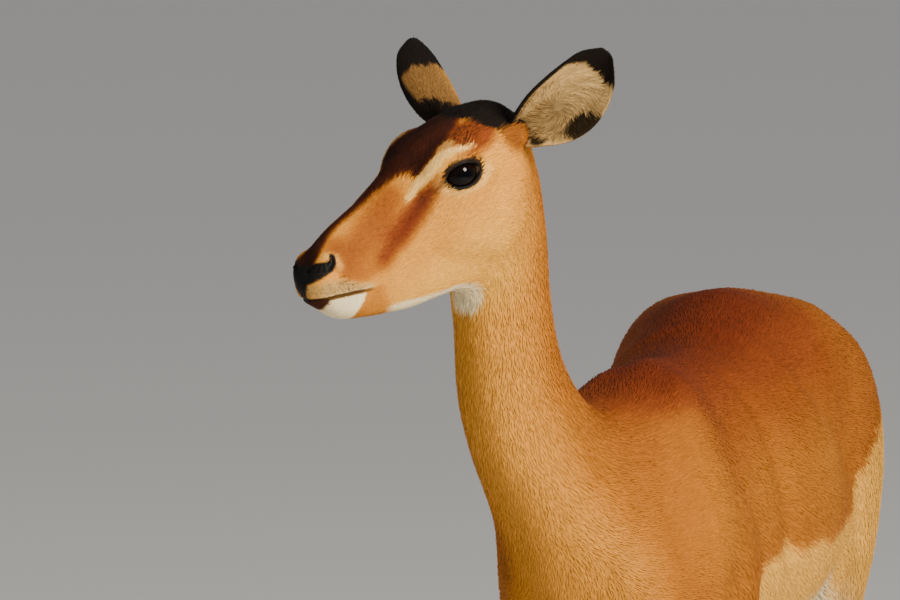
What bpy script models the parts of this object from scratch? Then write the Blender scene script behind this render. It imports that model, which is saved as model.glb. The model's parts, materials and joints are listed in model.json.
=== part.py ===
"""An impala ewe at life size, standing with her head turned to her right.

The body is described once, by lofts (rings along a spine) and muscle balls. Together they give a
smooth field that is below zero inside the animal. Blender joins their meshes with a voxel remesh,
the points are drawn onto the field, and thin cuts part the body into its named pieces.

Metres, +Z up. She faces -Y, and her left side is +X.
"""

import math

import bmesh
import bpy
import numpy as np
from mathutils import Matrix, Vector

# ---------------------------------------------------------------- driving sizes
GAP = 0.0003  # between neighbouring pieces
HEAD_YAW = math.radians(40)  # head turned to the right of the body's line
HEAD_PITCH = math.radians(35)  # nose below the horizontal
HEAD_PLACE = Vector((-0.124, -0.500, 1.100))  # the point midway between the eyes
EYE_RADIUS = 0.0190
EYE_PLACE = (0.0050, 0.0372, 0.0028)
EAR_LENGTH = 0.132
EAR_THICKNESS = 0.0046
EAR_BOW = 0.010  # how far the leaf's middle stands off the straight line from base to tip
CLAW_HEIGHT = 0.030
CLAW_LENGTH = 0.056
CORONET = CLAW_HEIGHT  # where a leg ends and its claws begin
KNEES = {"fore": 0.302, "hind": 0.330}  # heights at which the legs are parted
STRIDE = {"fore_left": -0.024, "fore_right": 0.030, "hind_left": 0.034, "hind_right": -0.026}


# ---------------------------------------------------------------- forms
def smooth_table(rows, per_span=10):
    """Rows of numbers, one per station, turned into many rows on smooth curves through them."""
    rows = np.array(rows, float)
    places = np.arange(len(rows))
    slopes = np.gradient(rows, axis=0)
    steps = np.linspace(0, len(rows) - 1, per_span * (len(rows) - 1) + 1)
    low = np.minimum(steps.astype(int), len(rows) - 2)
    t = (steps - places[low])[:, None]
    return (
        (2 * t**3 - 3 * t**2 + 1) * rows[low]
        + (t**3 - 2 * t**2 + t) * slopes[low]
        + (3 * t**2 - 2 * t**3) * rows[low + 1]
        + (t**3 - t**2) * slopes[low + 1]
    )


def unit(vectors):
    return vectors / np.maximum(np.linalg.norm(vectors, axis=-1, keepdims=True), 1e-9)


class Loft:
    """Egg-shaped rings along a spine.

    A station is x, y, z, half width, height above the spine, depth below it, and the squareness of
    the upper and lower halves (2 is an ellipse). up says which way "above" is, per station.
    """

    def __init__(self, stations, up, blend=0.02):
        table = smooth_table([tuple(row) + (2.0,) * (8 - len(row)) for row in stations])
        ups = np.array(up, float)
        if ups.ndim == 1:
            ups = np.tile(ups, (len(stations), 1))
        self.centre = table[:, :3]
        self.size = np.maximum(table[:, 3:6], 0.0015)
        self.square = np.clip(table[:, 6:8], 1.3, 4.0)
        self.along = unit(np.gradient(self.centre, axis=0))
        ups = smooth_table(ups)
        self.up = unit(ups - (ups * self.along).sum(1, keepdims=True) * self.along)
        self.side = np.cross(self.along, self.up)
        self.blend = blend
        reach = self.size.max() + 0.05
        self.low = self.centre.min(0) - reach
        self.high = self.centre.max(0) + reach

    def field(self, p):
        squared = ((p[:, None, :] - self.centre[None, :, :]) ** 2).sum(2)
        near = squared.argmin(1)
        last = len(self.centre) - 1
        step = np.linalg.norm(np.gradient(self.centre, axis=0), axis=1)[near]
        ahead = ((p - self.centre[near]) * self.along[near]).sum(1) / step
        place = np.clip(near + ahead, 0, last)
        low = np.minimum(place.astype(int), last - 1)
        part = (place - low)[:, None]

        def at(table):
            return table[low] * (1 - part) + table[low + 1] * part

        away = p - at(self.centre)
        across = np.abs((away * at(self.side)).sum(1))
        rise = (away * at(self.up)).sum(1)
        size, square = at(self.size), at(self.square)
        above = rise > 0
        height = np.where(above, size[:, 1], size[:, 2])
        power = np.where(above, square[:, 0], square[:, 1])
        ratio = ((across / size[:, 0]) ** power + (np.abs(rise) / height) ** power) ** (1 / power)
        reach = np.hypot(across, rise)
        radius = np.where(ratio > 0.05, reach / np.maximum(ratio, 0.05), np.minimum(size[:, 0], height))
        inside = reach - radius
        over = np.abs((away * at(self.along)).sum(1))
        over = np.where((place <= 0) | (place >= last), over, 0)
        return np.where(over > 0, np.hypot(np.maximum(inside, 0), over), inside)

    def add_mesh(self, bm, around=20, every=3):
        """Rings joined into one closed body."""
        picks = list(range(0, len(self.centre), every))
        if picks[-1] != len(self.centre) - 1:
            picks.append(len(self.centre) - 1)
        rings = []
        for i in picks:
            ring = []
            for k in range(around):
                angle = math.tau * k / around
                c, s = math.cos(angle), math.sin(angle)
                height = self.size[i, 1] if s > 0 else self.size[i, 2]
                power = self.square[i, 0] if s > 0 else self.square[i, 1]
                grow = (abs(c) ** power + abs(s) ** power) ** (-1 / power)
                point = (
                    self.centre[i]
                    + self.side[i] * self.size[i, 0] * c * grow
                    + self.up[i] * height * s * grow
                )
                ring.append(bm.verts.new(point))
            rings.append(ring)
        for first, second in zip(rings, rings[1:]):
            for k in range(around):
                m = (k + 1) % around
                bm.faces.new((first[k], first[m], second[m], second[k]))
        bm.faces.new(rings[0][::-1])
        bm.faces.new(rings[-1])


class Ball:
    """A muscle or bone as an ellipsoid: its long axis runs along "long", its width along "wide"."""

    def __init__(self, centre, radii, long=(0, 0, 1), wide=(1, 0, 0), blend=0.02):
        long = unit(np.array(long, float))
        wide = np.array(wide, float)
        wide = unit(wide - (wide @ long) * long)
        self.axes = np.array([wide, np.cross(long, wide), long])
        self.centre = np.array(centre, float)
        self.radii = np.array(radii, float)
        self.blend = blend
        reach = self.radii.max() + 0.05
        self.low = self.centre - reach
        self.high = self.centre + reach

    def field(self, p):
        local = (p - self.centre) @ self.axes.T
        first = np.linalg.norm(local / self.radii, axis=1)
        second = np.linalg.norm(local / self.radii**2, axis=1)
        return first * (first - 1) / np.maximum(second, 1e-6)

    def add_mesh(self, bm):
        turn = Matrix(self.axes.T.tolist()).to_4x4()
        place = Matrix.Translation(self.centre) @ turn @ Matrix.Diagonal((*self.radii, 1))
        bmesh.ops.create_icosphere(bm, subdivisions=3, radius=1, matrix=place)


def field_of(forms, points):
    """Below zero inside the body: all the forms in one smooth union."""
    value = np.full(len(points), 1.0)
    for form in forms:
        near = np.all((points > form.low) & (points < form.high), axis=1)
        if not near.any():
            continue
        own = form.field(points[near])
        other = value[near]
        overlap = np.maximum(form.blend - np.abs(own - other), 0) / form.blend
        value[near] = np.minimum(own, other) - overlap**2 * form.blend / 4
    return value


def both_sides(make):
    """The forms of the left side and their mirror images."""
    return make(1) + make(-1)


# ---------------------------------------------------------------- the trunk and its muscles
def trunk_forms():
    up = (0, 0, 1)
    # y, back line, belly line, widest level, half width, squareness above and below
    sections = [
        (-0.368, 0.700, 0.640, 0.670, 0.034, 2.0, 2.0),
        (-0.335, 0.745, 0.588, 0.665, 0.064, 2.0, 2.0),
        (-0.265, 0.806, 0.540, 0.660, 0.090, 1.9, 2.0),
        (-0.160, 0.860, 0.514, 0.655, 0.106, 1.7, 2.0),
        (-0.040, 0.852, 0.504, 0.648, 0.130, 1.7, 2.0),
        (0.080, 0.850, 0.502, 0.648, 0.150, 1.9, 2.0),
        (0.180, 0.873, 0.524, 0.660, 0.149, 2.0, 2.0),
        (0.280, 0.902, 0.572, 0.705, 0.130, 2.0, 2.0),
        (0.360, 0.880, 0.620, 0.735, 0.108, 2.0, 2.0),
        (0.425, 0.836, 0.675, 0.745, 0.076, 2.0, 2.0),
        (0.468, 0.788, 0.715, 0.745, 0.034, 2.0, 2.0),
    ]
    stations = [(0, y, mid, half, top - mid, mid - low, sq_up, sq_down)
                for y, top, low, mid, half, sq_up, sq_down in sections]
    return [Loft(stations, up)]


def shoulder_forms(side):
    return [
        # the shoulder blade and its muscles, from the withers to the point of the shoulder
        Ball((side * 0.070, -0.205, 0.725), (0.034, 0.066, 0.142),
             long=(side * 0.25, -0.5, -0.80), blend=0.035),
        Ball((side * 0.066, -0.294, 0.665), (0.030, 0.042, 0.070),
             long=(side * 0.1, -0.3, -1.0), blend=0.04),
        # the triceps behind the upper arm
        Ball((side * 0.092, -0.170, 0.620), (0.036, 0.056, 0.098), long=(0, 0.35, 1.0), blend=0.03),
        # the breast muscle
        Ball((side * 0.034, -0.318, 0.640), (0.042, 0.040, 0.080), long=(0, 0.45, -1.0), blend=0.04),
    ]


def haunch_forms(side):
    return [
        Ball((side * 0.066, 0.306, 0.782), (0.059, 0.106, 0.080), long=(0, 0, 1), blend=0.04),
        Ball((side * 0.096, 0.356, 0.682), (0.057, 0.098, 0.138), long=(0, -0.30, -1.0), blend=0.04),
        Ball((side * 0.066, 0.412, 0.668), (0.044, 0.058, 0.140), long=(0, 0.08, -1.0), blend=0.03),
        Ball((side * 0.105, 0.262, 0.590), (0.030, 0.045, 0.075), long=(0, -0.2, 1.0), blend=0.04),
    ]


# ---------------------------------------------------------------- legs
def leg_forms(kind, side):
    """A leg listed from the coronet up: x, y, z, half width, half depth in front and behind."""
    name = f"{kind}_{'left' if side > 0 else 'right'}"
    if kind == "fore":
        pivot = 0.56
        stations = [
            (0.066, -0.254, 0.030, 0.0190, 0.0190, 0.0170),
            (0.066, -0.248, 0.046, 0.0165, 0.0160, 0.0150),
            (0.066, -0.236, 0.068, 0.0145, 0.0140, 0.0140),
            (0.066, -0.224, 0.094, 0.0170, 0.0160, 0.0175),
            (0.066, -0.222, 0.122, 0.0130, 0.0130, 0.0150),
            (0.067, -0.222, 0.190, 0.0118, 0.0125, 0.0130),
            (0.067, -0.224, 0.262, 0.0135, 0.0145, 0.0145),
            (0.067, -0.226, 0.302, 0.0190, 0.0200, 0.0185),
            (0.068, -0.224, 0.345, 0.0170, 0.0180, 0.0190),
            (0.072, -0.215, 0.430, 0.0225, 0.0260, 0.0270),
            (0.078, -0.205, 0.505, 0.0300, 0.0380, 0.0440),
            (0.086, -0.205, 0.580, 0.0380, 0.0520, 0.0560),
            (0.088, -0.210, 0.640, 0.0360, 0.0500, 0.0550),
        ]
    else:
        pivot = 0.60
        stations = [
            (0.074, 0.384, 0.030, 0.0185, 0.0190, 0.0170),
            (0.074, 0.391, 0.046, 0.0160, 0.0160, 0.0150),
            (0.074, 0.403, 0.068, 0.0145, 0.0140, 0.0140),
            (0.074, 0.416, 0.095, 0.0170, 0.0160, 0.0180),
            (0.074, 0.420, 0.128, 0.0140, 0.0130, 0.0185),
            (0.074, 0.424, 0.195, 0.0120, 0.0130, 0.0145),
            (0.075, 0.430, 0.275, 0.0145, 0.0165, 0.0180),
            (0.076, 0.434, 0.325, 0.0185, 0.0220, 0.0210),
            (0.078, 0.428, 0.362, 0.0175, 0.0230, 0.0230),
            (0.084, 0.394, 0.430, 0.0240, 0.0330, 0.0400),
            (0.092, 0.352, 0.505, 0.0360, 0.0520, 0.0740),
            (0.094, 0.340, 0.585, 0.0470, 0.0760, 0.0950),
            (0.085, 0.345, 0.680, 0.0450, 0.0800, 0.0850),
        ]
    # the hoof is a stride ahead or behind, the pivot stays where it is
    swing = STRIDE[name]
    placed = []
    for x, y, z, half, front, back in stations:
        share = min(max((pivot - z) / pivot, 0.0), 1.0)
        placed.append((side * x, y + swing * share, z, half, front, back))
    forms = [Loft(placed, (0, -1, 0), blend=0.03)]
    if kind == "hind":
        hock = swing * (pivot - 0.345) / pivot
        # the heel bone and the tendon above it
        forms.append(Ball((side * 0.076, 0.452 + hock, 0.354), (0.0110, 0.0120, 0.034),
                          long=(0, -0.30, 1.0), blend=0.020))
    return forms


# ---------------------------------------------------------------- neck, head, tail
def head_matrix():
    """Head space, x forward along the nose line, y to her left and z up, into the world."""
    ahead = Vector((-math.sin(HEAD_YAW), -math.cos(HEAD_YAW), 0))
    up = Vector((0, 0, 1))
    forward = ahead * math.cos(HEAD_PITCH) - up * math.sin(HEAD_PITCH)
    crown = ahead * math.sin(HEAD_PITCH) + up * math.cos(HEAD_PITCH)
    left = crown.cross(forward)
    turn = Matrix((forward, left, crown)).transposed().to_4x4()
    return Matrix.Translation(HEAD_PLACE) @ turn


HEAD = head_matrix()
HEAD_TURN = np.array(HEAD.to_3x3())


def in_head(point):
    return np.array(HEAD @ Vector(point))


def head_way(direction):
    return HEAD_TURN @ np.array(direction, float)


def neck_forms():
    # x, y, z, half width, depth on the nape side, depth on the throat side
    stations = [
        (0.000, -0.160, 0.680, 0.070, 0.100, 0.120),
        (-0.020, -0.255, 0.728, 0.074, 0.088, 0.112),
        (-0.056, -0.330, 0.785, 0.066, 0.078, 0.090),
        (-0.080, -0.374, 0.860, 0.053, 0.070, 0.071),
        (-0.085, -0.408, 0.945, 0.044, 0.063, 0.058),
        (-0.087, -0.434, 1.030, 0.042, 0.062, 0.055),
        (-0.092, -0.450, 1.090, 0.041, 0.056, 0.055),
        (-0.104, -0.468, 1.118, 0.032, 0.034, 0.038),
    ]
    nape_yaws = [0, 2, 8, 16, 25, 34, 40, 40]
    napes = [(math.sin(math.radians(a)), math.cos(math.radians(a)), 0.2) for a in nape_yaws]
    return [Loft(stations, napes, blend=0.08)]


def head_forms():
    # forward, top line, lower line, widest level, half width, squareness above and below
    profile = [
        (0.197, 0.012, -0.010, 0.002, 0.0090, 2.0, 2.0),
        (0.189, 0.024, -0.022, 0.000, 0.0170, 2.1, 2.0),
        (0.174, 0.034, -0.043, -0.004, 0.0222, 2.1, 2.0),
        (0.150, 0.0375, -0.061, -0.010, 0.0240, 2.1, 1.9),
        (0.120, 0.0375, -0.079, -0.016, 0.0268, 2.0, 1.8),
        (0.090, 0.0375, -0.097, -0.020, 0.0315, 2.0, 1.8),
        (0.055, 0.0390, -0.115, -0.018, 0.0385, 2.0, 1.8),
        (0.020, 0.0440, -0.122, -0.012, 0.0460, 2.1, 1.8),
        (-0.020, 0.0430, -0.108, -0.008, 0.0490, 2.1, 1.8),
        (-0.055, 0.0310, -0.080, -0.010, 0.0450, 2.0, 1.9),
        (-0.078, 0.0160, -0.062, -0.016, 0.0350, 2.0, 2.0),
        (-0.090, 0.0000, -0.045, -0.020, 0.0180, 2.0, 2.0),
    ]
    stations = []
    for ahead, top, low, mid, half, sq_up, sq_down in profile:
        stations.append((*in_head((ahead, 0, mid)), half, top - mid, mid - low, sq_up, sq_down))
    skull = Loft(stations, head_way((0, 0, 1)), blend=0.03)
    return [skull] + both_sides(face_forms)


def face_forms(side):
    def ball(place, radii, long, blend=0.012):
        return Ball(in_head(place), radii, long=head_way(long), wide=head_way((0, 1, 0)), blend=blend)

    return [
        # brow ridge over the eye and the cheekbone below it
        ball((0.010, side * 0.0360, 0.0190), (0.0165, 0.0180, 0.0320), (1, side * -0.25, -0.08), 0.016),
        ball((0.010, side * 0.0385, -0.0160), (0.0105, 0.0120, 0.0360), (1, side * -0.30, -0.15), 0.016),
        # jaw muscle
        ball((0.012, side * 0.0270, -0.0560), (0.0150, 0.0300, 0.0480), (0.8, 0, 0.55), 0.022),
        # wing of the nostril, upper lip and lower lip
        ball((0.176, side * 0.0140, 0.0160), (0.0095, 0.0120, 0.0170), (1, side * -0.3, -0.35), 0.010),
        ball((0.166, side * 0.0140, -0.0100), (0.0100, 0.0130, 0.0270), (1, side * -0.25, 0.35)),
        ball((0.164, side * 0.0080, -0.0320), (0.0110, 0.0120, 0.0220), (1, side * -0.1, 0.45), 0.010),
    ]


def tail_form():
    # x, y, z, half width, depth behind and in front
    return Loft([
        (0, 0.445, 0.806, 0.020, 0.016, 0.016),
        (0, 0.472, 0.781, 0.020, 0.014, 0.014),
        (0, 0.490, 0.730, 0.021, 0.012, 0.012),
        (0, 0.496, 0.655, 0.024, 0.012, 0.012),
        (0, 0.494, 0.580, 0.027, 0.013, 0.013),
        (0, 0.490, 0.520, 0.021, 0.011, 0.011),
        (0, 0.487, 0.483, 0.006, 0.004, 0.004),
    ], (0, 1, 0.3))


BODY = (
    trunk_forms()
    + both_sides(shoulder_forms)
    + both_sides(haunch_forms)
    + both_sides(lambda side: leg_forms("fore", side))
    + both_sides(lambda side: leg_forms("hind", side))
    + neck_forms()
    + head_forms()
)


# ---------------------------------------------------------------- making meshes
def new_object(name, mesh):
    obj = bpy.data.objects.new(name, mesh)
    bpy.context.scene.collection.objects.link(obj)
    return obj


def object_from(name, bm):
    bmesh.ops.recalc_face_normals(bm, faces=bm.faces[:])
    mesh = bpy.data.meshes.new(name)
    bm.to_mesh(mesh)
    bm.free()
    return new_object(name, mesh)


def evaluated_mesh(obj):
    """The object's mesh with its modifiers applied."""
    graph = bpy.context.evaluated_depsgraph_get()
    return bpy.data.meshes.new_from_object(obj.evaluated_get(graph))


def bake(obj):
    """Apply the modifiers and leave them off the object."""
    mesh = evaluated_mesh(obj)
    obj.modifiers.clear()
    obj.data = mesh
    return obj


def points_of(mesh):
    points = np.empty(len(mesh.vertices) * 3, np.float32)
    mesh.vertices.foreach_get("co", points)
    return points.reshape(-1, 3).astype(float)


def edges_of(mesh):
    edges = np.empty(len(mesh.edges) * 2, np.int32)
    mesh.edges.foreach_get("vertices", edges)
    return edges.reshape(-1, 2)


def relax(points, edges, share):
    """Each point moves part of the way to the middle of its neighbours."""
    total = np.zeros_like(points)
    count = np.zeros(len(points))
    for a, b in ((0, 1), (1, 0)):
        for axis in range(3):
            total[:, axis] += np.bincount(edges[:, a], points[edges[:, b], axis], len(points))
        count += np.bincount(edges[:, a], minlength=len(points))
    return points + share * (total / count[:, None] - points)


def draw_onto_field(mesh, forms, most, rounds=5):
    """Moves the points onto the zero level of the field, a step at a time."""
    points, edges = points_of(mesh), edges_of(mesh)
    small = 0.0008
    for turn in range(rounds):
        if turn < rounds - 1:
            points = relax(points, edges, 0.5)
        value = field_of(forms, points)
        slope = np.stack([field_of(forms, points + small * np.eye(3)[axis]) - value
                          for axis in range(3)], 1) / small
        strength = np.maximum((slope**2).sum(1), 0.2)
        step = -(value / strength)[:, None] * slope
        length = np.linalg.norm(step, axis=1, keepdims=True)
        points = points + step * np.minimum(1, most / np.maximum(length, 1e-9))
    mesh.vertices.foreach_set("co", points.astype(np.float32).ravel())
    mesh.update()


def whole_body(voxel):
    bm = bmesh.new()
    for form in BODY:
        form.add_mesh(bm)
    body = object_from("whole", bm)
    remesh = body.modifiers.new("join the forms", "REMESH")
    remesh.mode = "VOXEL"
    remesh.voxel_size = voxel
    bake(body)
    draw_onto_field(body.data, BODY, voxel)
    return body


def thinned(body, name, share):
    """A copy of the body with a share of its triangles, for one group of pieces."""
    copy = new_object(name, body.data.copy())
    thin = copy.modifiers.new("fewer triangles", "DECIMATE")
    thin.ratio = share
    bake(copy)
    copy.hide_render = True
    copy.display_type = "WIRE"
    return copy


def block(name, low, high, place=Matrix.Identity(4)):
    """A box between two corners, set in the world by a matrix, that stays out of the render."""
    bm = bmesh.new()
    size = Vector(high) - Vector(low)
    middle = (Vector(high) + Vector(low)) / 2
    bmesh.ops.create_cube(bm, size=1, matrix=Matrix.Translation(middle) @ Matrix.Diagonal((*size, 1)))
    bm.transform(place)
    box = object_from(name, bm)
    box.hide_render = True
    box.display_type = "WIRE"
    return box


def cut(obj, cutter, operation):
    tool = obj.modifiers.new(operation.lower(), "BOOLEAN")
    tool.operation = operation
    tool.object = cutter
    return bake(obj)


def keep_largest(obj):
    """Drops crumbs that a cut leaves beside the piece."""
    bm = bmesh.new()
    bm.from_mesh(obj.data)
    left, islands = set(bm.verts), []
    while left:
        island, edge = set(), [left.pop()]
        while edge:
            vert = edge.pop()
            island.add(vert)
            for link in vert.link_edges:
                other = link.other_vert(vert)
                if other in left:
                    left.remove(other)
                    edge.append(other)
        islands.append(island)
    islands.sort(key=len)
    bmesh.ops.delete(bm, geom=[v for island in islands[:-1] for v in island], context="VERTS")
    bm.to_mesh(obj.data)
    bm.free()


def material(name, colour, roughness, metallic=0.0):
    made = bpy.data.materials.new(name)
    made.use_nodes = True
    shader = made.node_tree.nodes["Principled BSDF"]
    shader.inputs["Base Color"].default_value = (*colour, 1)
    shader.inputs["Roughness"].default_value = roughness
    shader.inputs["Metallic"].default_value = metallic
    return made


def finish_piece(obj, mat):
    obj.data.materials.clear()
    obj.data.materials.append(mat)
    obj.data.shade_smooth()
    return obj


# ---------------------------------------------------------------- the planes that part the body
def frame_at(point, away):
    """A matrix whose z axis points along away, at a point of the cut."""
    turn = Vector(away).to_track_quat("Z", "Y").to_matrix().to_4x4()
    return Matrix.Translation(Vector(point)) @ turn


NECK_ROOT = frame_at((-0.030, -0.300, 0.790), (-0.10, -0.62, 0.77))
NECK_TOP = frame_at(in_head((-0.0275, 0, -0.0625)), head_way((0.614, 0, 0.789)))
THIGH_TOP = frame_at((0, 0.35, 0.583), (0, -0.50, 0.866))
FAR = 1.5
REACH = 0.6


def leg_space(kind, side, grow):
    """The block that holds one leg, its cut faces moved outwards by grow."""
    if kind == "fore":
        low = (0.046 - grow, -0.36 - grow, -0.1)
        high = (0.30, -0.140 + grow, 0.545 + grow)
        place = Matrix.Identity(4)
    else:
        low = (0.004 - grow, -0.42 - grow, -0.8)
        high = (0.30, 0.50, grow)
        place = THIGH_TOP
    if side < 0:
        low, high = (-high[0], low[1], low[2]), (-low[0], high[1], high[2])
    return block(f"{kind}_{side}_space", low, high, place)


def body_pieces(fine, coarse, slim):
    """Each named piece is the body inside one or two blocks, and outside its neighbours' blocks."""
    half = GAP / 2
    above_neck_root = block("above_neck_root", (-REACH, -REACH, half), (REACH, REACH, FAR), NECK_ROOT)
    below_neck_root = block("below_neck_root", (-REACH, -REACH, -FAR), (REACH, REACH, -half), NECK_ROOT)
    above_neck_top = block("above_neck_top", (-REACH, -REACH, half), (REACH, REACH, FAR), NECK_TOP)
    below_neck_top = block("below_neck_top", (-REACH, -REACH, -FAR), (REACH, REACH, -half), NECK_TOP)

    pieces = {}

    def take(name, source, *steps):
        piece = new_object(name, source.data.copy())
        for cutter, operation in steps:
            cut(piece, cutter, operation)
        keep_largest(piece)
        pieces[name] = piece

    take("head", fine, (above_neck_top, "INTERSECT"))
    take("neck", slim, (below_neck_top, "INTERSECT"), (above_neck_root, "INTERSECT"))

    legs = [(kind, side) for side in (1, -1) for kind in ("fore", "hind")]
    hollows = [(leg_space(kind, side, half), "DIFFERENCE") for kind, side in legs]
    take("trunk", coarse, (below_neck_root, "INTERSECT"), *hollows)

    for kind, side in legs:
        word = "left" if side > 0 else "right"
        own = leg_space(kind, side, -half)
        upper = block(f"{kind}_{word}_upper_band", (-1, -1, KNEES[kind] + half), (1, 1, 1.2))
        lower = block(f"{kind}_{word}_lower_band", (-1, -1, CORONET), (1, 1, KNEES[kind] - half))
        take(f"{kind}leg_{word}_upper", slim, (own, "INTERSECT"), (upper, "INTERSECT"))
        take(f"{kind}leg_{word}_lower", slim, (own, "INTERSECT"), (lower, "INTERSECT"))
    return pieces


# ---------------------------------------------------------------- eyes, ears, claws, tail
# half the ear leaf's width along its curve, and how far each half curls round, from base to tip
EAR_TABLE = smooth_table([
    (0.0300, 2.10), (0.0345, 1.75), (0.0380, 1.30), (0.0395, 1.00), (0.0390, 0.85),
    (0.0365, 0.75), (0.0320, 0.68), (0.0245, 0.60), (0.0080, 0.50),
], per_span=8)


def eye(side, name):
    bm = bmesh.new()
    x, y, z = EYE_PLACE
    place = Matrix.Translation(in_head((x, side * y, z)))
    bmesh.ops.create_uvsphere(bm, u_segments=14, v_segments=9, radius=EYE_RADIUS, matrix=place)
    return object_from(name, bm)


def ear_frame(side):
    """Base point, and the ways along the ear, out of its opening and across it, in the world."""
    if side > 0:
        root, along, opening = (-0.074, 0.038, -0.010), (-0.26, 0.74, 0.62), (0.73, 0.55, -0.36)
    else:
        root, along, opening = (-0.063, -0.045, -0.007), (-0.14, -0.79, 0.52), (0.14, -0.56, -0.82)
    ahead = np.array((-math.sin(HEAD_YAW), -math.cos(HEAD_YAW), 0))
    up = np.array((0, 0, 1.0))
    level = np.array([ahead, np.cross(up, ahead), up])
    along = unit(np.array(along) @ level)
    opening = np.array(opening) @ level
    opening = unit(opening - (opening @ along) * along)
    return in_head(root), along, opening, np.cross(opening, along) * side


def ear_leaf(side, u, v):
    """Points of the ear's middle surface: u runs from base to tip, v from the rear edge to the front.
    The right ear is turned back, folded closer and straight, the left one bows towards its rear."""
    base, along, opening, across = ear_frame(side)
    places = np.linspace(0, 1, len(EAR_TABLE))
    arc, curl = (np.interp(u, places, column) for column in EAR_TABLE.T)
    fold, bow = (1.0, EAR_BOW) if side > 0 else (1.36, -0.003)
    curl = np.minimum(curl * fold, 2.15)
    radius = arc / curl
    lateral = radius * np.sin(curl * v) - bow * np.sin(np.pi * u)
    depth = radius * (1 - np.cos(curl * v)) - EAR_BOW
    return (base + (u * EAR_LENGTH)[..., None] * along
            + lateral[..., None] * across + depth[..., None] * opening)


def ear(side, name, along_steps=12, across_steps=6):
    """A cupped leaf with two faces and a closed rim."""
    lengthwise, crosswise = np.linspace(0, 1, along_steps + 1), np.linspace(-1, 1, across_steps + 1)
    u, v = np.meshgrid(lengthwise, crosswise, indexing="ij")
    grid = ear_leaf(side, u, v)
    normal = unit(np.cross(np.gradient(grid, axis=0), np.gradient(grid, axis=1)))
    half = EAR_THICKNESS / 2 * (1 - 0.45 * np.abs(v) ** 3) * (1.5 - 0.7 * u)
    bm = bmesh.new()
    front, back = ([[bm.verts.new(point) for point in row] for row in grid + sign * half[..., None] * normal]
                   for sign in (1, -1))
    for i in range(along_steps):
        for j in range(across_steps):
            bm.faces.new((front[i][j], front[i + 1][j], front[i + 1][j + 1], front[i][j + 1]))
            bm.faces.new((back[i][j + 1], back[i + 1][j + 1], back[i + 1][j], back[i][j]))
    rim = [(i, 0) for i in range(along_steps)]
    rim += [(along_steps, j) for j in range(across_steps)]
    rim += [(i, across_steps) for i in range(along_steps, 0, -1)]
    rim += [(0, j) for j in range(across_steps, 0, -1)]
    for (a, b), (c, d) in zip(rim, rim[1:] + rim[:1]):
        bm.faces.new((front[a][b], front[c][d], back[c][d], back[a][b]))
    return object_from(name, bm)


def claw(kind, side, outer, name):
    """One half of a cloven hoof: flat sole, straight inner wall, pointed toe."""
    word = "left" if side > 0 else "right"
    x = side * (0.066 if kind == "fore" else 0.074)
    y = (-0.254 if kind == "fore" else 0.384) + STRIDE[f"{kind}_{word}"]
    away = side * outer
    heel, toe = y + 0.020, y + 0.020 - CLAW_LENGTH
    steps = 7
    bm = bmesh.new()
    rings = []
    for level, shrink in ((0.0, 1.0), (0.35, 0.96), (1.0, 0.72)):
        z = level * (CLAW_HEIGHT - GAP)
        back = heel - 0.004 * level
        front = toe + 0.024 * level
        ring = []
        for k in range(steps):
            share = k / (steps - 1)
            along = back + (front - back) * share
            bulge = max(math.sin(math.pi * (0.16 + 0.84 * share) ** 0.8), 0.04) ** 0.8
            ring.append((x + away * (0.0015 + 0.0185 * shrink * bulge), along, z))
        for k in range(steps - 2, 0, -2):
            share = k / (steps - 1)
            ring.append((x + away * 0.0012, back + (front - back) * share, z))
        ring.append((x + away * 0.0012, back, z))
        rings.append([bm.verts.new(point) for point in ring])
    count = len(rings[0])
    for low, high in zip(rings, rings[1:]):
        for k in range(count):
            m = (k + 1) % count
            bm.faces.new((low[k], low[m], high[m], high[k]))
    bm.faces.new(rings[0][::-1])
    bm.faces.new(rings[-1])
    return object_from(name, bm)


def swollen(obj, name, amount):
    """A copy grown by a small clearance, to cut its neighbour with."""
    copy = new_object(name, obj.data.copy())
    grow = copy.modifiers.new("clearance", "DISPLACE")
    grow.strength = amount
    grow.mid_level = 0
    bake(copy)
    copy.hide_render = True
    copy.display_type = "WIRE"
    return copy


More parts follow.
